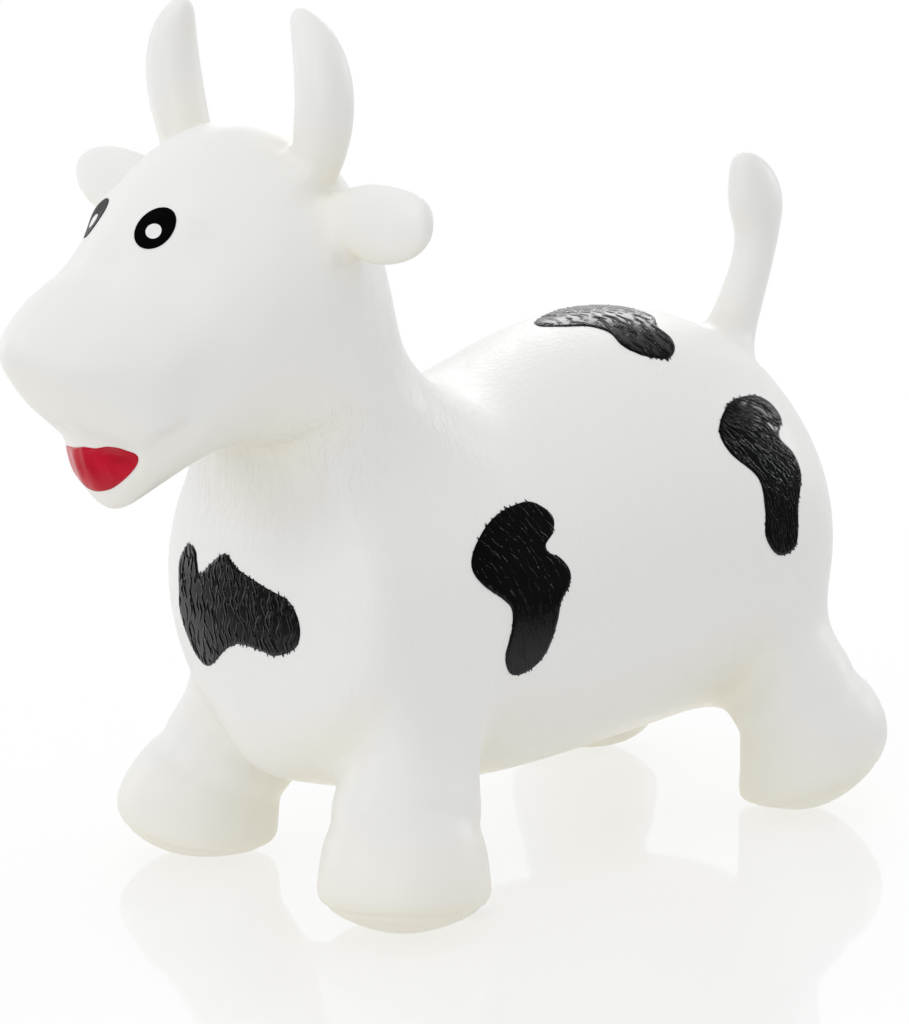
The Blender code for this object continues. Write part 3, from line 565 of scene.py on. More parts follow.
# %% Horns, ears and tail
HORN_LENGTH = 0.084
HORN_THICKNESS = 0.033
HORN_PLACE_SHARES = (0.645, 0.43, 0.875)
HORN_SHARES = [
    (-0.030, 0.000, 0.040, 0.820, 0.820, 28), (0.060, -0.005, 0.240, 0.930, 0.930, 12),
    (0.110, -0.025, 0.525, 0.960, 0.960, -6), (0.060, -0.050, 0.810, 0.770, 0.770, -20),
    (-0.085, -0.070, 0.990, 0.350, 0.350, -34),
]
EAR_LENGTH = 0.070
EAR_HEIGHT = 0.040
EAR_THICKNESS = 0.020
EAR_PLACE_SHARES = (0.88, 0.43, 0.765)
EAR_SHARES = [
    (0.040, 0.000, -0.040, 1.200, 0.880, -22), (0.230, -0.030, 0.000, 1.000, 1.000, 0),
    (0.545, -0.045, 0.015, 0.900, 1.075, 0), (0.855, -0.055, 0.045, 0.800, 0.850, 0),
    (1.000, -0.070, 0.070, 0.500, 0.450, 0),
]
TAIL_LENGTH = 0.117
TAIL_THICKNESS = 0.026
TAIL_PLACE_SHARES = (0.4525, 0.855)
TAIL_SHARES = [
    (0, 0.000, 0.000, 1.230, 1.230, -34), (0, 0.090, 0.195, 1.060, 1.060, -24),
    (0, 0.190, 0.410, 0.940, 0.940, -12), (0, 0.230, 0.580, 1.020, 1.020, 0),
    (0, 0.215, 0.750, 1.640, 1.180, 14), (0, 0.150, 0.900, 1.150, 0.950, 32),
    (0, 0.080, 0.985, 0.480, 0.480, 42),
]
TIP_BULGE = 0.003


def limb_ovals(root, side, rows, length, thickness, width, across, ahead, hinge):
    """The ovals of one limb, whose last one bulges ahead as its tip."""
    ovals = []
    for count, (x, y, z, thick, wide, turn) in enumerate(rows, 1):
        centre = root + Vector((x * side, y, z)) * length
        spin = Matrix.Rotation(math.radians(turn * side), 3, hinge)
        bulge = spin @ ahead * (TIP_BULGE if count == len(rows) else 0)
        axis_i = spin @ OUT_Y * (-thick * thickness / 2)
        ovals.append(oval(centre, axis_i, spin @ across * (wide * width / 2), bulge))
    return ovals


def horn_ovals(side):
    root = head_point(side * HORN_PLACE_SHARES[0], *HORN_PLACE_SHARES[1:])
    return limb_ovals(root, side, HORN_SHARES, HORN_LENGTH, HORN_THICKNESS, HORN_THICKNESS * side,
                      OUT_X, OUT_Z, "Y")


def ear_ovals(side):
    root = head_point(side * EAR_PLACE_SHARES[0], *EAR_PLACE_SHARES[1:])
    return limb_ovals(root, side, EAR_SHARES, EAR_LENGTH, EAR_THICKNESS, -EAR_HEIGHT,
                      OUT_Z, OUT_X * side, "Y")


def tail_ovals():
    behind, up = TAIL_PLACE_SHARES
    root = Vector((0, behind * TORSO_LENGTH, BELLY_HEIGHT + up * TORSO_HEIGHT))
    return limb_ovals(root, 1, TAIL_SHARES, TAIL_LENGTH, TAIL_THICKNESS, TAIL_THICKNESS,
                      OUT_X, OUT_Z, "X")


for name, side in SIDES.items():
    names = [f"horn_root_{name}"] + [f"horn_{name}"] * (len(HORN_SHARES) - 1)
    cage.grow(head_rings, (4, 5, 6), (1, 2, 3), side, horn_ovals(side), names)
for name, side in SIDES.items():
    names = [f"ear_root_{name}"] * 2 + [f"ear_{name}"] * (len(EAR_SHARES) - 2)
    cage.grow(head_rings, (3, 4, 5), (3, 4, 5), side, ear_ovals(side), names)
names = ["tail_root"] * 2 + ["tail"] * (len(TAIL_SHARES) - 2)
cage.grow(torso_rings, (1, 2, 3), (-1, 0, 1), 1, tail_ovals(), names)
bmesh.ops.recalc_face_normals(cage.shape, faces=cage.shape.faces)
print("whole cage", len(cage.shape.faces), "faces of", len(cage.names), "pieces")

# %% [markdown]
# ## Smoothing the cage
#
# A Subdivision Surface modifier turns the cage into a smooth skin. The first two levels are
# enough to see where the skin is tucked away, under the belly or behind an ear. Each point keeps
# that as a number, with how far it faces down and how near the floor it lies, and the number
# mixes painted shade, a cream tint, into the vinyl's colour. Two more levels make the skin fine
# enough to carve.

# %% Smoothing the cage
def refined(shape, levels):
    """A smoother copy of a shape, with its layers carried over."""
    mesh = as_mesh("rough", shape)
    body = in_scene("rough", mesh)
    modifier = body.modifiers.new("smooth", "SUBSURF")
    modifier.levels = modifier.render_levels = levels
    evaluated = body.evaluated_get(bpy.context.evaluated_depsgraph_get())
    finer = bmesh.new()
    finer.from_mesh(evaluated.to_mesh())
    evaluated.to_mesh_clear()
    bpy.data.objects.remove(body)
    bpy.data.meshes.remove(mesh)
    return finer


LEVELS = 2
PAINTED_SHADE_REACH = 0.10
RAY_START = 0.001
PAINTED_SHADE_RAYS = 28
FACING_DOWN = 0.45
NEAR_FLOOR = 0.50
FLOOR_REACH = 0.08
GOLDEN_ANGLE = math.pi * (3 - math.sqrt(5))

nod = next(joint for joint in frame["joints"] if joint["name"] == "head_nod")
into_frame = Vector((0, nod["pos_m"][1] - neck_middle.y, 0))
bmesh.ops.translate(cage.shape, verts=cage.shape.verts, vec=into_frame)
skin = refined(cage.shape, LEVELS)
skin.normal_update()
around = BVHTree.FromBMesh(skin)
rays = []
for count in range(PAINTED_SHADE_RAYS):
    height = (count + 0.5) / PAINTED_SHADE_RAYS
    spread = math.sqrt(1 - height * height)
    angle = count * GOLDEN_ANGLE
    rays.append(Vector((spread * math.cos(angle), spread * math.sin(angle), height)))
# Painted shade: each point's number says how much cream shade is painted into the vinyl there, from how closed in
# it is, how far it faces down and how near the floor it lies.
painted_shade = skin.verts.layers.float.new("painted_shade")
for vert in skin.verts:
    tilt = OUT_Z.rotation_difference(vert.normal)
    start = vert.co + vert.normal * RAY_START
    total = 0.0
    for ray in rays:
        hit = around.ray_cast(start, tilt @ ray, PAINTED_SHADE_REACH)
        if hit[0] is not None:
            total += 1 - hit[3] / PAINTED_SHADE_REACH
    low = max(0, 1 - vert.co.z / FLOOR_REACH)
    vert[painted_shade] = total / PAINTED_SHADE_RAYS + FACING_DOWN * max(0, -vert.normal.z) + NEAR_FLOOR * low
skin = refined(skin, LEVELS)
print("fine skin", len(skin.faces), "faces")

# %% [markdown]
# ## Carving
#
# Air makes the skin plain, but the mould adds lips, nostrils, folds and wrinkles. A sculptor
# presses clay along a line with a round tool. `press` does the same: points near a line move
# against their normals, most under the line and less and less to its sides.

# %% Carving tools
FAINTEST = 0.02


class Clay:
    """The skin's points as arrays, so that many can be pushed at once."""

    def __init__(self, shape):
        shape.normal_update()
        self.shape = shape
        self.surface = BVHTree.FromBMesh(shape)
        self.points = np.array([vert.co for vert in shape.verts])
        self.normals = np.array([vert.normal for vert in shape.verts])

    def away_from(self, line):
        """Distance of every point from a line on the skin, and how far along the line it is."""
        line = [np.array(self.surface.find_nearest(Vector(point))[0]) for point in line]
        steps = [np.linalg.norm(second - first) for first, second in zip(line, line[1:])]
        nearest = np.full(len(self.points), np.inf)
        along = np.zeros(len(self.points))
        walked = 0.0
        for first, second, step in zip(line, line[1:], steps):
            share = np.clip((self.points - first) @ (second - first) / step ** 2, 0, 1)
            away = np.linalg.norm(self.points - first - share[:, None] * (second - first), axis=1)
            closer = away < nearest
            nearest[closer] = away[closer]
            along[closer] = (walked + share[closer] * step) / sum(steps)
            walked += step
        return nearest, along

    def relax(self, line, width, times):
        """Smooth the skin near a line, as when a thumb rubs a crease out."""
        away, along = self.away_from(line)
        share = np.exp(-(away / width) ** 2)[:, None]
        wanted = share[:, 0] > FAINTEST
        edges = np.array([[vert.index for vert in edge.verts] for edge in self.shape.edges])
        edges = edges[wanted[edges].any(axis=1)]
        ends = np.concatenate([edges[:, 0], edges[:, 1]])
        others = np.concatenate([edges[:, 1], edges[:, 0]])
        count = np.maximum(np.bincount(ends, minlength=len(self.points)), 1)[:, None]
        for step in range(times):
            sums = [np.bincount(ends, self.points[others, axis], len(self.points))
                    for axis in range(3)]
            means = np.stack(sums, axis=1) / count
            self.points += np.where(wanted[:, None], share * (means - self.points), 0)

    def press(self, line, depth, width, fade=0.25):
        away, along = self.away_from(line)
        ends = np.clip(np.minimum(along, 1 - along) / fade, 0, 1) if fade else 1.0
        self.points -= self.normals * (depth * ends * np.exp(-(away / width) ** 2))[:, None]

    def swell(self, centre, height, width):
        middle = np.array(self.surface.find_nearest(Vector(centre))[0])
        away = np.linalg.norm(self.points - middle, axis=1)
        self.points += self.normals * (height * np.exp(-(away / width) ** 2))[:, None]

    def finish(self):
        for vert, point in zip(self.shape.verts, self.points):
            vert.co = point
        self.shape.normal_update()


def both_sides(line):
    return [[(x * side, y, z) for x, y, z in line] for side in SIDES.values()]


clay = Clay(skin)
print("clay of", len(clay.points), "points")

# %% Mouth, cheeks and nostrils
LIP_LINE = [(-0.043, -0.208, 0.281), (-0.028, -0.228, 0.276), (0.000, -0.243, 0.2735),
            (0.028, -0.228, 0.276), (0.043, -0.208, 0.281)]
LIP_GROOVE = [(x, y, z + 0.001) for x, y, z in LIP_LINE]
UPPER_LIP = [(-0.030, -0.236, 0.284), (0.000, -0.250, 0.284), (0.030, -0.236, 0.284)]
CHEEK_FOLD = [(0.0386, -0.2355, 0.2746), (0.0423, -0.2318, 0.2757), (0.0466, -0.2255, 0.2786),
              (0.0498, -0.2196, 0.2823), (0.0529, -0.2142, 0.2867), (0.0556, -0.2067, 0.2887)]
CHIN = (0.0, -0.226, 0.242)
BELLY_FRONT = (-0.012, -0.140, 0.060)
NOSTRIL = (0.0374, -0.2581, 0.3266)
BRIDGE = [(-0.0145, -0.2372, 0.3690), (-0.0040, -0.2423, 0.3697), (0.0040, -0.2423, 0.3697),
          (0.0145, -0.2372, 0.3690)]
EYE = tuple(into_frame + head_point(0.285, 0.865, 0.752))
CHEEK_OUT = 1.35
CHEEK_BACK = 0.012

clay.press(LIP_LINE, depth=0.0050, width=0.0120)
clay.press(UPPER_LIP, depth=0.0035, width=0.0130)
clay.press(LIP_GROOVE, depth=0.0012, width=0.0030)
clay.swell(CHIN, height=0.0016, width=0.014)
clay.swell(BELLY_FRONT, height=0.0095, width=0.030)
for line in both_sides(CHEEK_FOLD):
    clay.press(line, depth=0.0030, width=0.0070)
for (spot,) in both_sides([NOSTRIL]):
    clay.swell(spot, height=0.0018, width=0.0095)
    clay.swell(spot, height=-0.0016, width=0.0065)
clay.press(BRIDGE, depth=0.0045, width=0.0150, fade=0)
for ((x, y, z),) in both_sides([EYE]):
    clay.swell((x * CHEEK_OUT, y + CHEEK_BACK, z), height=0.0030, width=0.013)
print("mouth and nostrils carved")

# %% Creases at the roots, and the soles
def seam_line(first, second):
    """The closed seam between two pieces of the skin, as a line of points round it."""
    numbers = {cage.names.index(first), cage.names.index(second)}
    spots = [(edge.verts[0].co + edge.verts[1].co) / 2 for edge in skin.edges
             if {face[piece_layer] for face in edge.link_faces} == numbers]
    middle = sum(spots, Vector()) / len(spots)
    flat = np.linalg.svd(np.array([spot - middle for spot in spots]))[2]
    along, side = Vector(flat[0]), Vector(flat[1])
    spots.sort(key=lambda spot: math.atan2((spot - middle).dot(side), (spot - middle).dot(along)))
    return spots[::4] + spots[:1]


def leg_line(side, leg, share, drop=0.0):
    """A ring round a leg, at a share of the way from its top ring down to its sole."""
    place = share * (len(leg["rings"]) - 1)
    above = min(int(place), len(leg["rings"]) - 2)
    pair = np.array(leg["rings"][above:above + 2])
    offset, height, width, depth, turn = pair[0] + (pair[1] - pair[0]) * (place - above)
    outward = Vector((side, leg["fore"], 0)).normalized()
    middle = into_frame + Vector((side * leg["apart"] / 2, leg["place"], height * leg["top"]))
    middle += outward * (offset * FOOT_WIDTH / 2)
    spin = Matrix.Rotation(math.radians(-turn), 3, OUT_Z.cross(outward))
    ring = []
    for count in range(SOLE_STEPS + 1):
        angle = math.tau * count / SOLE_STEPS
        spot = Vector((width * math.cos(angle), depth * math.sin(angle), 0)) * FOOT_WIDTH / 2
        ring.append(middle + spin @ (spot - OUT_Z * drop))
    return ring


piece_layer = skin.faces.layers.int["piece"]
SOLE_STEPS = 40
ANKLE_SHARE = 0.18
FOLDS_SHARE = 0.17
FOLD_POINTS = 11
ANKLE_FOLDS = (0.0, 0.0045, 0.0100)
SOLE_GROOVE_DROP = 0.0075
HORN_BASE = [(0.0321, -0.1342, 0.4237), (0.0473, -0.1429, 0.4200), (0.0567, -0.1442, 0.4153),
             (0.0631, -0.1403, 0.4104)]
EAR_BASE = [(0.0820, -0.1442, 0.3671), (0.0852, -0.1342, 0.3644), (0.0808, -0.1222, 0.3621)]
for name, side in SIDES.items():
    for root in (f"horn_root_{name}", f"ear_root_{name}"):
        clay.relax(seam_line(root, "head"), width=0.008, times=20)
    for end, leg in LEGS.items():
        clay.relax(seam_line(f"leg_{end}_{name}", "torso"), width=0.014, times=40)
        clay.press(leg_line(side, leg, ANKLE_SHARE), depth=0.0018, width=0.0080, fade=0)
        clay.press(leg_line(side, leg, 1, SOLE_GROOVE_DROP), depth=0.0010, width=0.0018, fade=0)
        outer = leg_line(side, leg, FOLDS_SHARE)[:-1]
        outer.sort(key=lambda spot: -spot.x * side - spot.y * leg["fore"])
        for drop in ANKLE_FOLDS:
            fold = [spot - OUT_Z * drop for spot in outer[:FOLD_POINTS]]
            fold.sort(key=lambda spot: spot.x * side - spot.y * leg["fore"])
            clay.press(fold, depth=0.0011, width=0.0016)
for line in both_sides(HORN_BASE):
    clay.press(line, depth=0.0014, width=0.0060)
for line in both_sides(EAR_BASE):
    clay.press(line, depth=0.0025, width=0.0070)
clay.press(seam_line("tail_root", "torso"), depth=0.0010, width=0.0050, fade=0)
print("roots creased")

# %% Finish the carving and flatten the soles
clay.finish()
cut = bmesh.ops.bisect_plane(skin, geom=list(skin.verts) + list(skin.edges) + list(skin.faces),
                             plane_co=Vector(), plane_no=OUT_Z, clear_inner=True)
rims = [item for item in cut["geom_cut"] if isinstance(item, bmesh.types.BMEdge)]
for face in bmesh.ops.holes_fill(skin, edges=rims)["faces"]:
    for other in face.edges[0].link_faces:
        if other is not face:
            face[piece_layer] = other[piece_layer]
print("lowest point", round(min(vert.co.z for vert in skin.verts) * 1000, 2), "mm")

# %% [markdown]
# ## Fur that shows, and fur that doesn't
#
# The mould's fur is deep at the throat, the nape and the withers, faint on the torso and absent
# from the head and limbs. A number on each point says how deep it is there.

# %% Where the fur lies
FUR_PLACES = [((0.0, -0.150, 0.245), 0.055, 1.0), ((0.055, -0.125, 0.262), 0.035, 0.9),
              ((-0.055, -0.125, 0.262), 0.035, 0.9), ((0.045, -0.050, 0.285), 0.045, 0.9),
              ((-0.045, -0.050, 0.285), 0.045, 0.9), ((0.0, -0.030, 0.295), 0.045, 0.9),
              ((0.060, -0.085, 0.330), 0.040, 0.8), ((-0.060, -0.085, 0.330), 0.040, 0.8)]
PLAIN_FUR = 0.22

fur = skin.verts.layers.float.new("fur")
smooth = skin.verts.layers.float_vector.new("outward")
furry = {cage.names.index("torso"), cage.names.index("neck")}
skin.normal_update()
for vert in skin.verts:
    vert[smooth] = vert.normal
    depth = PLAIN_FUR if all(face[piece_layer] in furry for face in vert.link_faces) else 0.0
    for centre, reach, most in FUR_PLACES:
        depth = max(depth, most * math.exp(-((vert.co - Vector(centre)).length / reach) ** 4))
    vert[fur] = depth
print("fur marked on", len(skin.verts), "points")

# %% [markdown]
# ## Effects that the finishes share
#
# Two groups serve more than one finish. `moulded_fur` gives the height of short wavy strokes that
# run down the body: noise that is fine across the strokes and long down them. `fine_mottle` gives
# the faint unevenness of any moulded or painted surface.

# %% Shared effects
STROKE_SWAY = (0.008, 0.008, 0.0)
STROKE_EDGES = (0.42, 0.66)
MOTTLE_EDGES = (0.35, 0.65)


def new_group(name, output, **inputs):
    """A node group of number sockets, and its node that hands the inputs on."""
    group = bpy.data.node_groups.new(name, "ShaderNodeTree")
    for socket, value in inputs.items():
        made = group.interface.new_socket(socket, in_out="INPUT", socket_type="NodeSocketFloat")
        made.default_value = value
    group.interface.new_socket(output, in_out="OUTPUT", socket_type="NodeSocketFloat")
    return group, group.nodes.new("NodeGroupInput").outputs


def close_group(group, output, socket):
    end = group.nodes.new("NodeGroupOutput")
    group.links.new(socket, end.inputs[output])


def effect(tree, group, **inputs):
    return node(tree, "Group", inputs, node_tree=group).outputs[0]


fur_group, given = new_group("moulded_fur", "Height", Across=420.0, Down=75.0, Depth=1.0)
place = node(fur_group, "TexCoord").outputs["Object"]
scale = node(fur_group, "CombineXYZ",
             {"X": given["Across"], "Y": given["Across"], "Z": given["Down"]})
sway = node(fur_group, "TexNoise", {"Vector": place, "Scale": 60.0, "Detail": 1.0})
swayed = vector(fur_group, "MULTIPLY", sway.outputs["Color"], STROKE_SWAY)
stretched = vector(fur_group, "MULTIPLY", vector(fur_group, "ADD", place, swayed), scale.outputs[0])
strokes = node(fur_group, "TexNoise",
               {"Vector": stretched, "Scale": 1.0, "Detail": 2.0, "Roughness": 0.4})
ridges = ranged(fur_group, strokes.outputs[0], *STROKE_EDGES, smooth=True)
close_group(fur_group, "Height", maths(fur_group, "MULTIPLY", ridges, given["Depth"]))

mottle_group, given = new_group("fine_mottle", "Mask", Scale=40.0, Low=0.0, High=1.0)
place = node(mottle_group, "TexCoord").outputs["Object"]
noise = node(mottle_group, "TexNoise", {"Vector": place, "Scale": given["Scale"], "Detail": 4.0})
close_group(mottle_group, "Mask",
            ranged(mottle_group, noise.outputs[0], *MOTTLE_EDGES, given["Low"], given["High"]))
print("shared effects", [group.name for group in bpy.data.node_groups])

# %% [markdown]
# ## White vinyl
#
# Soft vinyl is a satin white. Where the skin is folded away from the light, faces down or lies
# near the floor, a cream shade is painted into its colour, in place of the light that passes a
# little way into the real vinyl. A number on each point mixes that painted shade in. The fur is a
# bump here, because its strokes on white are finer than the skin's own faces.

# %% White vinyl
VINYL_WHITE = (0.83, 0.828, 0.818, 1)
# The cream of the painted shade.
PAINTED_SHADE_CREAM = (0.86, 0.83, 0.72, 1)
PAINTED_SHADE_EDGES = (0.05, 0.60)

vinyl, tree, shader = new_material("white_vinyl", Roughness=0.42, IOR=1.5)
# Painted shade: cream mixed into the white where the skin is closed in, faces down or is near the floor, in place
# of light passing into the vinyl.
away = node(tree, "Attribute", attribute_name="painted_shade").outputs["Fac"]
cloud = effect(tree, mottle_group, Scale=9.0, Low=0.85, High=1.15)
painted_shade_share = maths(tree, "MULTIPLY", ranged(tree, away, *PAINTED_SHADE_EDGES), cloud, use_clamp=True)
tree.links.new(mixed_colour(tree, painted_shade_share, VINYL_WHITE, PAINTED_SHADE_CREAM), shader.inputs["Base Color"])
rough = effect(tree, mottle_group, Scale=120.0, Low=0.38, High=0.46)
tree.links.new(rough, shader.inputs["Roughness"])
depth = node(tree, "Attribute", attribute_name="fur").outputs["Fac"]
hair = effect(tree, fur_group, Across=330.0, Down=60.0, Depth=depth)
relief = node(tree, "Bump", {"Height": hair, "Strength": 0.55, "Distance": 0.0007})
tree.links.new(relief.outputs[0], shader.inputs["Normal"])
print("finish", vinyl.name)

# %% [markdown]
# ## One piece of skin for each imported piece
#
# The fine skin is divided along the same seams as the imported model. Each piece keeps the normals
# that it had in the whole skin, so no seam shows. A rigid piece rides on its body. A collar, such
# as the neck, lies between two bodies, and in a bounce the toy sinks into its legs. For a collar,
# and for each leg with its foot, the span inside its seams where it gives way is found and printed.

# %% Pieces of skin
body_of = {name: body for body, names in frame["record"]["behaviour"]["bodies"].items()
           for name in names}
COLLARS = {"neck": ("torso", "head"), "tail_root": ("torso", "tail")}
for name in SIDES:
    COLLARS[f"horn_root_{name}"] = ("head", f"horn_{name}")
    COLLARS[f"ear_root_{name}"] = ("head", f"ear_{name}")
NARROWEST_BEND = 0.003
MOST_TILT, TILT_STEP, TURN_STEP = 60, 5, 15
STIFF_SOLE = 0.004


def place_piece(name, shape, material, stands_for):
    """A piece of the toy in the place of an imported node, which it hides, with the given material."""
    mesh = as_mesh(name, shape)
    mesh.materials.append(material)
    mesh.shade_smooth()
    piece = in_scene(name, mesh)
    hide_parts(stands_for)
    return piece


def bend_between(number, bodies):
    """Where a collar begins and stops bending: inside its two seams, the way with most room."""
    seams = {body: [] for body in bodies}
    for edge in skin.edges:
        owners = {face[piece_layer] for face in edge.link_faces}
        if number in owners and len(owners) == 2:
            other = (owners - {number}).pop()
            middle = (edge.verts[0].co + edge.verts[1].co) / 2
            seams[body_of[cage.names[other]]].append(middle)
    near, far = (np.array(seams[body]) for body in bodies)
    first, second = Vector(near.mean(0)), Vector(far.mean(0))
    straight = (second - first).normalized()
    aside = straight.orthogonal().normalized()
    above = straight.cross(aside)
    widest, chosen = -1.0, None
    for tilt in np.radians(np.arange(0, MOST_TILT + 1, TILT_STEP)):
        for turn in np.radians(np.arange(0, 360, TURN_STEP)):
            lean = aside * math.cos(turn) + above * math.sin(turn)
            along = straight * math.cos(tilt) + lean * math.sin(tilt)
            begin, stop = ((near - first) @ along).max(), ((far - first) @ along).min()
            if stop - begin > widest:
                widest, chosen = stop - begin, (along, begin, stop)
    along, begin, stop = chosen
    if stop - begin < NARROWEST_BEND:
        middle = (begin + stop) / 2
        begin, stop = middle - NARROWEST_BEND / 2, middle + NARROWEST_BEND / 2
        print("  narrow collar")
    return first + along * begin, first + along * stop


def leg_bend(name):
    """The begin and stop of the span where a leg and its foot give way: from just over the sole up to the torso.
    """
    leg = cage.names.index(name.replace("foot", "leg"))
    foot = cage.names.index(name.replace("leg", "foot"))
    begin, stop = bend_between(leg, ("feet", "torso"))
    along = (stop - begin).normalized()
    sole = {vert for face in skin.faces if face[piece_layer] == foot
            for vert in face.verts if vert.co.z < STIFF_SOLE}
    lowest = max((vert.co - begin).dot(along) for vert in sole)
    return begin + along * min(lowest, 0), stop


for number, name in enumerate(cage.names):
    part = skin.copy()
    others = [face for face in part.faces if face[part.faces.layers.int["piece"]] != number]
    bmesh.ops.delete(part, geom=others, context="FACES")
    piece = place_piece(f"{name}_skin", part, vinyl, name)
    mesh = piece.data
    outward = np.zeros(len(mesh.vertices) * 3)
    mesh.attributes["outward"].data.foreach_get("vector", outward)
    mesh.normals_split_custom_set_from_vertices(outward.reshape(-1, 3))
    mesh.attributes.remove(mesh.attributes["outward"])
    if name.startswith(("leg", "foot")):
        bodies, (begin, stop) = ("feet", "torso"), leg_bend(name)
    elif name in COLLARS:
        bodies, (begin, stop) = COLLARS[name], bend_between(number, COLLARS[name])
    else:
        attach(piece, body_of[name])
        continue
    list(bodies)
    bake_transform(piece)
    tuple(begin)
    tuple(stop)
    print(name, "gives way over", round((stop - begin).length * 1000, 1), "mm")
print("pieces of skin", len(cage.names))

# %% [markdown]
# ## Draping paint on the skin
#
# Each patch of paint starts as a flat grid of tiny squares in front of the skin. Squares outside
# the outline are deleted, the grid's rim is pulled onto the outline, and every point
# is then dropped onto the skin. Strokes of hair raise it, and its rim is tucked into the skin.

# %% Outlines and strokes
LOCK_WAVE = 0.012
TIP_SPACING = 0.00045
TIP_SHARE = 0.14
TIP_REACH = 0.0022


def rounded(points, steps=10):
    """A smooth closed line through given points."""
    points = np.array(points, float)
    line = []
    for i in range(len(points)):
        a, b, c, d = (points[(i + k - 1) % len(points)] for k in range(4))
        for t in np.arange(steps) / steps:
            line.append(0.5 * (2 * b + (c - a) * t + (2 * a - 5 * b + 4 * c - d) * t ** 2
                               + (3 * b - a - 3 * c + d) * t ** 3))
    return np.array(line)


def inside(flat, outlines):
    """Which flat points lie inside the first outline and outside the others."""
    crossings = np.zeros(len(flat), int)
    for line in outlines:
        for (ax, ay), (bx, by) in zip(line, np.roll(line, -1, axis=0)):
            if ay == by:
                continue
            between = (flat[:, 1] > min(ay, by)) & (flat[:, 1] <= max(ay, by))
            meets = ax + (flat[:, 1] - ay) / (by - ay) * (bx - ax)
            crossings += between & (meets > flat[:, 0])
    return crossings % 2 == 1


def onto_outline(flat, outlines):
    """The nearest point of the outlines to each flat point."""
    best = np.full(len(flat), np.inf)
    found = flat.copy()
    for line in outlines:
        for first, second in zip(line, np.roll(line, -1, axis=0)):
            span = second - first
            share = np.clip((flat - first) @ span / max(span @ span, 1e-18), 0, 1)
            spot = first + share[:, None] * span
            away = np.linalg.norm(flat - spot, axis=1)
            closer = away < best
            best[closer], found[closer] = away[closer], spot[closer]
    return found


class Lock(NamedTuple):
    """How the strokes of hair of one patch lie: their spacing, size and height, in metres."""
    apart: float
    down: float
    length: float
    width: float
    height: float
    sway: float
    lean: list


def hair_strokes(flat, seed, lock):
    """Heights of short wavy strokes in staggered rows, each a ridge beside a groove."""
    draw = random.Random(seed)
    low, high = flat.min(0), flat.max(0)
    heights = np.zeros(len(flat))
    rows = int((high[1] - low[1]) / lock.down) + 2
    columns = int((high[0] - low[0]) / lock.apart) + 2
    for row in range(rows):
        for column in range(columns):
            x = low[0] + (column + 0.5 * (row % 2) + draw.uniform(-0.3, 0.3)) * lock.apart
            y = low[1] + (row + draw.uniform(-0.4, 0.4)) * lock.down
            level = (y - low[1]) / (high[1] - low[1])
            slant = np.interp(level, np.linspace(0, 1, len(lock.lean)), lock.lean)
            slant = math.radians(slant + draw.uniform(-8, 8))
            reach = lock.length * draw.uniform(0.35, 0.6)
            sway, turn = draw.uniform(0.5, 1.2) * lock.sway, draw.uniform(0, math.tau)
            strength = draw.uniform(0.45, 1.0)
            offset = flat - (x, y)
            along = offset[:, 0] * math.sin(slant) - offset[:, 1] * math.cos(slant)
            near = np.abs(along) < reach
            across = offset[near, 0] * math.cos(slant) + offset[near, 1] * math.sin(slant)
            across = across - sway * np.sin(along[near] / LOCK_WAVE * math.tau + turn)
            ridge = -across / lock.width * np.exp(0.5 - (across / lock.width) ** 2) * math.sqrt(2)
            heights[near] += strength * ridge * (1 - (along[near] / reach) ** 4)
    return (1 + np.clip(heights, -1, 1)) * lock.height


def frayed(line, seed, lock):
    """An outline with the tips of single hairs standing out of it, where it crosses the hair."""
    draw = random.Random(seed)
    ahead = np.roll(line, -1, axis=0)
    steps = np.linalg.norm(ahead - line, axis=1)
    walked = np.concatenate([[0], np.cumsum(steps)])
    count = int(walked[-1] / TIP_SPACING) // 2 * 2
    spots = np.arange(count) / count * walked[-1]
    closed = np.vstack([line, line[:1]])
    even = np.stack([np.interp(spots, walked, closed[:, axis]) for axis in (0, 1)], axis=1)
    along = np.roll(even, -1, axis=0) - np.roll(even, 1, axis=0)
    outward = np.stack([along[:, 1], -along[:, 0]], axis=1)
    outward /= np.linalg.norm(outward, axis=1)[:, None]
    area = np.sum(even[:, 0] * np.roll(even[:, 1], -1) - np.roll(even[:, 0], -1) * even[:, 1])
    slant = math.radians(sum(lock.lean) / len(lock.lean))
    lie = np.array([math.sin(slant), -math.cos(slant)])
    crossing = outward @ lie * math.copysign(1, area)
    tips = [draw.uniform(0.3, 1.0) if draw.random() < TIP_SHARE else draw.uniform(0, 0.07)
            for i in range(count)]
    return even + lie * (np.array(tips) * crossing * TIP_REACH)[:, None]


print("a tip of hair every", TIP_SPACING * 1000, "mm of an outline")

# %% Draping
skin_surface = BVHTree.FromBMesh(skin)
START_AWAY = 0.08
RIM_FADE = 0.0015
PAINT_LIFT = 0.00035
TUCK = 0.0009


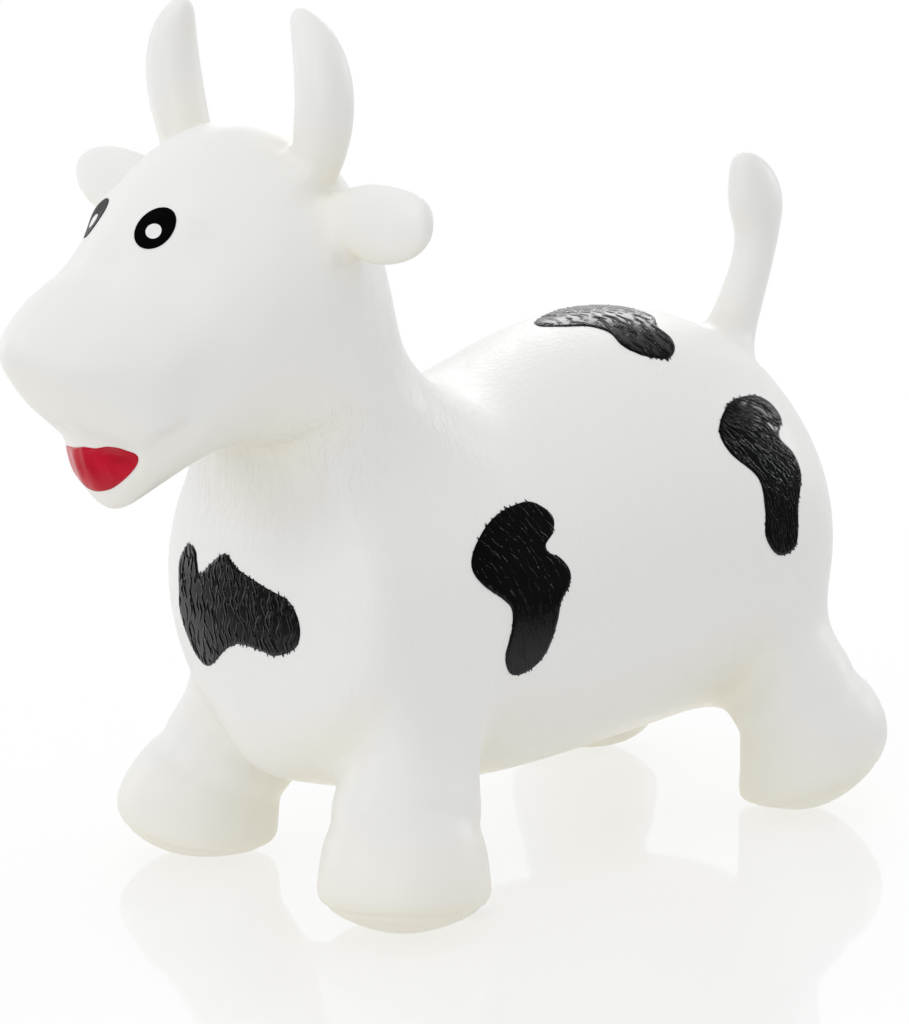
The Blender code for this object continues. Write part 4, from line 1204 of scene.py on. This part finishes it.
def drape(name, material, outlines, place, across, up, cell, relief, stands_for):
    """A painted piece inside some outlines, dropped onto the skin against its outward side."""
    outward = across.cross(up).normalized()
    low = np.min([line.min(0) for line in outlines], axis=0) - cell * 2
    high = np.max([line.max(0) for line in outlines], axis=0) + cell * 2
    columns, rows = (int(count) for count in np.ceil((high - low) / cell))
    shape = bmesh.new()
    bmesh.ops.create_grid(shape, x_segments=columns, y_segments=rows, size=0.5)
    bmesh.ops.scale(shape, verts=shape.verts, vec=(columns * cell, rows * cell, 1))
    middle = (low + high) / 2
    bmesh.ops.translate(shape, verts=shape.verts, vec=(middle[0], middle[1], 0))
    centres = np.array([face.calc_center_median()[:2] for face in shape.faces])
    others = [face for face, keep in zip(shape.faces, inside(centres, outlines)) if not keep]
    bmesh.ops.delete(shape, geom=others, context="FACES")
    rim = [vert for vert in shape.verts if vert.is_boundary]
    for vert, spot in zip(rim, onto_outline(np.array([vert.co[:2] for vert in rim]), outlines)):
        vert.co.xy = spot
    flat = np.array([vert.co[:2] for vert in shape.verts])
    from_rim = np.linalg.norm(flat - onto_outline(flat, outlines), axis=1)
    heights = relief(flat) * np.clip(from_rim / RIM_FADE, 0, 1)
    for vert, (x, y) in zip(shape.verts, flat):
        start = place + across * x + up * y + outward * START_AWAY
        spot = skin_surface.ray_cast(start, -outward)[0]
        vert.co = skin_surface.find_nearest(start)[0] if spot is None else spot
    inner = [vert for vert in shape.verts if not vert.is_boundary]
    bmesh.ops.smooth_vert(shape, verts=inner, factor=0.5,
                          use_axis_x=True, use_axis_y=True, use_axis_z=True)
    shape.normal_update()
    sense = 1 if sum((vert.normal for vert in shape.verts), Vector()).dot(outward) > 0 else -1
    normals = [vert.normal * sense for vert in shape.verts]
    for vert, normal, height in zip(shape.verts, normals, heights):
        vert.co += normal * (PAINT_LIFT + height)
    edges = [edge for edge in shape.edges if edge.is_boundary]
    hem = bmesh.ops.extrude_edge_only(shape, edges=edges)["geom"]
    for vert in (item for item in hem if isinstance(item, bmesh.types.BMVert)):
        spot, normal = skin_surface.find_nearest(vert.co)[:2]
        vert.co = spot - normal * TUCK
    bmesh.ops.recalc_face_normals(shape, faces=shape.faces)
    if sum((face.normal * face.calc_area() for face in shape.faces), Vector()).dot(outward) < 0:
        bmesh.ops.reverse_faces(shape, faces=shape.faces)
    piece = place_piece(name, shape, material, stands_for)
    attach(piece, body_of[stands_for])
    print(name, len(piece.data.polygons), "faces")

# %% [markdown]
# ## Black and red paint
#
# The black is a satin paint over deep moulded hair, so it shows mostly as glints along the
# strokes. The red of the mouth is thicker and smoother. No real paint has one even colour, so
# each wavers between two that are close to each other.

# %% Paints
def paint(name, first, second, scale, **values):
    """A paint whose colour wavers between two that are close to each other."""
    material, tree, shader = new_material(name, IOR=1.5, **values)
    cloud = effect(tree, mottle_group, Scale=scale, Low=0.0, High=1.0)
    tree.links.new(mixed_colour(tree, cloud, first, second), shader.inputs["Base Color"])
    return material


black = paint("black_paint", (0.002, 0.002, 0.0022, 1), (0.004, 0.004, 0.0044, 1), 14.0,
              Roughness=0.16, Specular_IOR_Level=0.30)
tree = black.node_tree
worn = effect(tree, mottle_group, Scale=160.0, Low=0.12, High=0.20)
tree.links.new(worn, tree.nodes["Principled BSDF"].inputs["Roughness"])
eye_black = paint("eye_black", (0.0012, 0.0012, 0.0013, 1), (0.002, 0.002, 0.0022, 1), 90.0,
                  Roughness=0.35, Specular_IOR_Level=0.06)
eye_white = paint("eye_white", (0.80, 0.80, 0.79, 1), (0.84, 0.84, 0.83, 1), 90.0, Roughness=0.4)
red = paint("red_paint", (0.44, 0.004, 0.018, 1), (0.52, 0.006, 0.024, 1), 70.0,
            Roughness=0.20, Specular_IOR_Level=0.25)
print("paints", [made.name for made in (black, eye_black, eye_white, red)])

# %% Outlines of the patches
MOUTH_SIZE = (0.068, 0.027)
MOUTH_SHARES = [
    (0.47, 0.33), (0.455, 0.40), (0.41, 0.45), (0.36, 0.50), (0.27, 0.50), (0.15, 0.43),
    (0.02, 0.41), (-0.14, 0.33), (-0.30, 0.28), (-0.40, 0.22), (-0.47, 0.14), (-0.49, 0.04),
    (-0.42, -0.12), (-0.30, -0.28), (-0.17, -0.40), (-0.05, -0.47), (0.06, -0.47),
    (0.19, -0.38), (0.30, -0.21), (0.39, -0.01), (0.45, 0.19),
]
FLANK_SIZE = (0.069, 0.092)
FLANK_SHARES = [
    (0.21, 0.50), (0.36, 0.46), (0.44, 0.39), (0.40, 0.31), (0.30, 0.25), (0.32, 0.20),
    (0.42, 0.16), (0.50, 0.08), (0.49, 0.00), (0.39, -0.10), (0.35, -0.21), (0.27, -0.37),
    (0.16, -0.46), (0.00, -0.50), (-0.12, -0.47), (-0.18, -0.36), (-0.13, -0.20), (-0.13, -0.08),
    (-0.23, 0.00), (-0.39, 0.09), (-0.48, 0.19), (-0.44, 0.29), (-0.28, 0.40), (-0.08, 0.47),
]
RUMP_SIZE = (0.065, 0.089)
RUMP_SHARES = [
    (0.11, 0.51), (-0.24, 0.50), (-0.50, 0.37), (-0.46, 0.22), (-0.17, 0.03), (-0.13, -0.18),
    (-0.13, -0.36), (0.06, -0.50), (0.31, -0.46), (0.36, -0.21), (0.48, -0.02), (0.43, 0.12),
    (0.28, 0.24), (0.43, 0.34), (0.34, 0.45),
]
CHEST_SIZE = (0.108, 0.067)
CHEST_SHARES = [
    (-0.41, 0.44), (-0.34, 0.41), (-0.32, 0.32), (-0.28, 0.24), (-0.09, 0.46), (0.03, 0.37),
    (0.25, 0.28), (0.42, 0.21), (0.49, 0.03), (0.46, -0.15), (0.32, -0.26), (0.19, -0.25),
    (0.04, -0.25), (-0.07, -0.33), (-0.25, -0.54), (-0.38, -0.47), (-0.50, -0.20), (-0.51, 0.05),
    (-0.51, 0.25), (-0.47, 0.36),
]
BACK_SIZE = (0.084, 0.062)
BACK_SHARES = [
    (0.37, 0.35), (0.47, 0.27), (0.53, 0.12), (0.51, -0.03), (0.44, -0.17), (0.33, -0.24),
    (0.18, -0.20), (0.03, -0.26), (-0.10, -0.41), (-0.26, -0.50), (-0.38, -0.42), (-0.46, -0.20),
    (-0.50, 0.05), (-0.42, 0.30), (-0.20, 0.47), (0.06, 0.52), (0.18, 0.42), (0.25, 0.35),
]


def outline(shares, size):
    return rounded([(u * size[0], v * size[1]) for u, v in shares])


def torso_point(across, along, up):
    """A place in shares of the torso: half its width, its length and its height."""
    return into_frame + Vector((across * TORSO_WIDTH / 2, along * TORSO_LENGTH,
                                BELLY_HEIGHT + up * TORSO_HEIGHT))


print("mouth", MOUTH_SIZE, "and chest patch", CHEST_SIZE, "m across and up")

# %% Patches
FINE_CELL = 0.0003
PLAIN_CELL = 0.00045
CURLY = Lock(0.0056, 0.0095, 0.0140, 0.00060, 0.00044, 0.0011, [4, 2, 4, 6])
SPARSE = Lock(0.0058, 0.0068, 0.0085, 0.00038, 0.00040, 0.0005, [14, 14, 14, 30, 34, 34])
LONG = Lock(0.0026, 0.0075, 0.0150, 0.00045, 0.00030, 0.0007, [8, 8, 16, 42, 50, 60])
LEVEL = Lock(0.0095, 0.0050, 0.0140, 0.00055, 0.00040, 0.0010, [80, 84, 80])

PATCHES = [
    ("chest", CHEST_SHARES, CHEST_SIZE, (-0.071, -0.5, 0.463), OUT_X, OUT_Z, CURLY),
    ("back", BACK_SHARES, BACK_SIZE, (0.161, 0.145, 1.0), OUT_X, OUT_Y, LEVEL),
    ("flank_left", FLANK_SHARES, FLANK_SIZE, (1.0, -0.226, 0.512), OUT_Y, OUT_Z, SPARSE),
    ("rump_left", RUMP_SHARES, RUMP_SIZE, (1.0, 0.263, 0.642), OUT_Y, OUT_Z, LONG),
    ("flank_right", RUMP_SHARES, FLANK_SIZE, (-1.0, 0.020, 0.560), -OUT_Y, OUT_Z, SPARSE),
    ("rump_right", FLANK_SHARES, RUMP_SIZE, (-1.0, 0.330, 0.480), -OUT_Y, OUT_Z, LONG),
]
for seed, (name, shares, size, spot, across, up, lock) in enumerate(PATCHES, 1):
    edge = frayed(outline(shares, size), seed, lock)
    cell = PLAIN_CELL if name.endswith("right") else FINE_CELL
    drape(f"{name}_patch", black, [edge], torso_point(*spot), across, up, cell,
          lambda flat: hair_strokes(flat, seed, lock), f"patch_{name}")

# %% Mouth
MOUTH_PLACE_SHARES = (0, 1, 0.122)
MOUTH_CELL = 0.00055
LIP_FOLD_HEIGHT = 0.00025
LIP_FOLD_TURNS = (520, 260)


def lip_folds(flat):
    """Soft upright folds in the thick red paint."""
    across, up = (flat[:, axis] * LIP_FOLD_TURNS[axis] for axis in (0, 1))
    return LIP_FOLD_HEIGHT * (np.sin(across + np.sin(up)) * 0.5 + 0.5)


drape("red_mouth", red, [outline(MOUTH_SHARES, MOUTH_SIZE)],
      into_frame + head_point(*MOUTH_PLACE_SHARES), OUT_X, OUT_Z, MOUTH_CELL, lip_folds, "mouth")

# %% Eyes
EYE_CELL = 0.00035
EYE_SIZE = (0.0192, 0.0248)
EYE_TILT = math.radians(39)
EYE_DOT = 0.0083
EYE_DOT_PLACE = (-0.0008, -0.0018)
EYE_FACING_SHARES = (0.68, -0.59, 0.44)


def ring(width, height, turn=0.0, centre=(0, 0), count=48):
    """An oval outline, turned about its centre."""
    angles = np.arange(count) / count * math.tau
    points = np.stack([width / 2 * np.cos(angles), height / 2 * np.sin(angles)], axis=1)
    cos, sin = math.cos(turn), math.sin(turn)
    return points @ np.array([[cos, sin], [-sin, cos]]) + centre


for name, side in SIDES.items():
    spot = Vector((EYE[0] * side, EYE[1], EYE[2]))
    facing = Vector((EYE_FACING_SHARES[0] * side, *EYE_FACING_SHARES[1:])).normalized()
    level = OUT_Z.cross(facing).normalized()
    dot = ring(EYE_DOT, EYE_DOT, 0, (EYE_DOT_PLACE[0] * side, EYE_DOT_PLACE[1]))
    around_dot = [ring(*EYE_SIZE, -side * EYE_TILT), dot]
    for piece, material, lines, stands_for in (("eye_ring", eye_black, around_dot, "eye"),
                                               ("eye_glint", eye_white, [dot], "eye_dot")):
        drape(f"{piece}_{name}", material, lines, spot, level, facing.cross(level), EYE_CELL,
              lambda flat: np.zeros(len(flat)), f"{stands_for}_{name}")

# %% [markdown]
# ## The valve
#
# Under the belly sits the moulded ring that the air goes in through, with its stopper. Their
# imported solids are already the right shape, so they only get the vinyl finish.

# %% Valve
for name in ("valve_boss", "valve_plug"):
    valve = frame["nodes"][name]
    valve.data.materials.clear()
    valve.data.materials.append(vinyl)
print("valve finished")
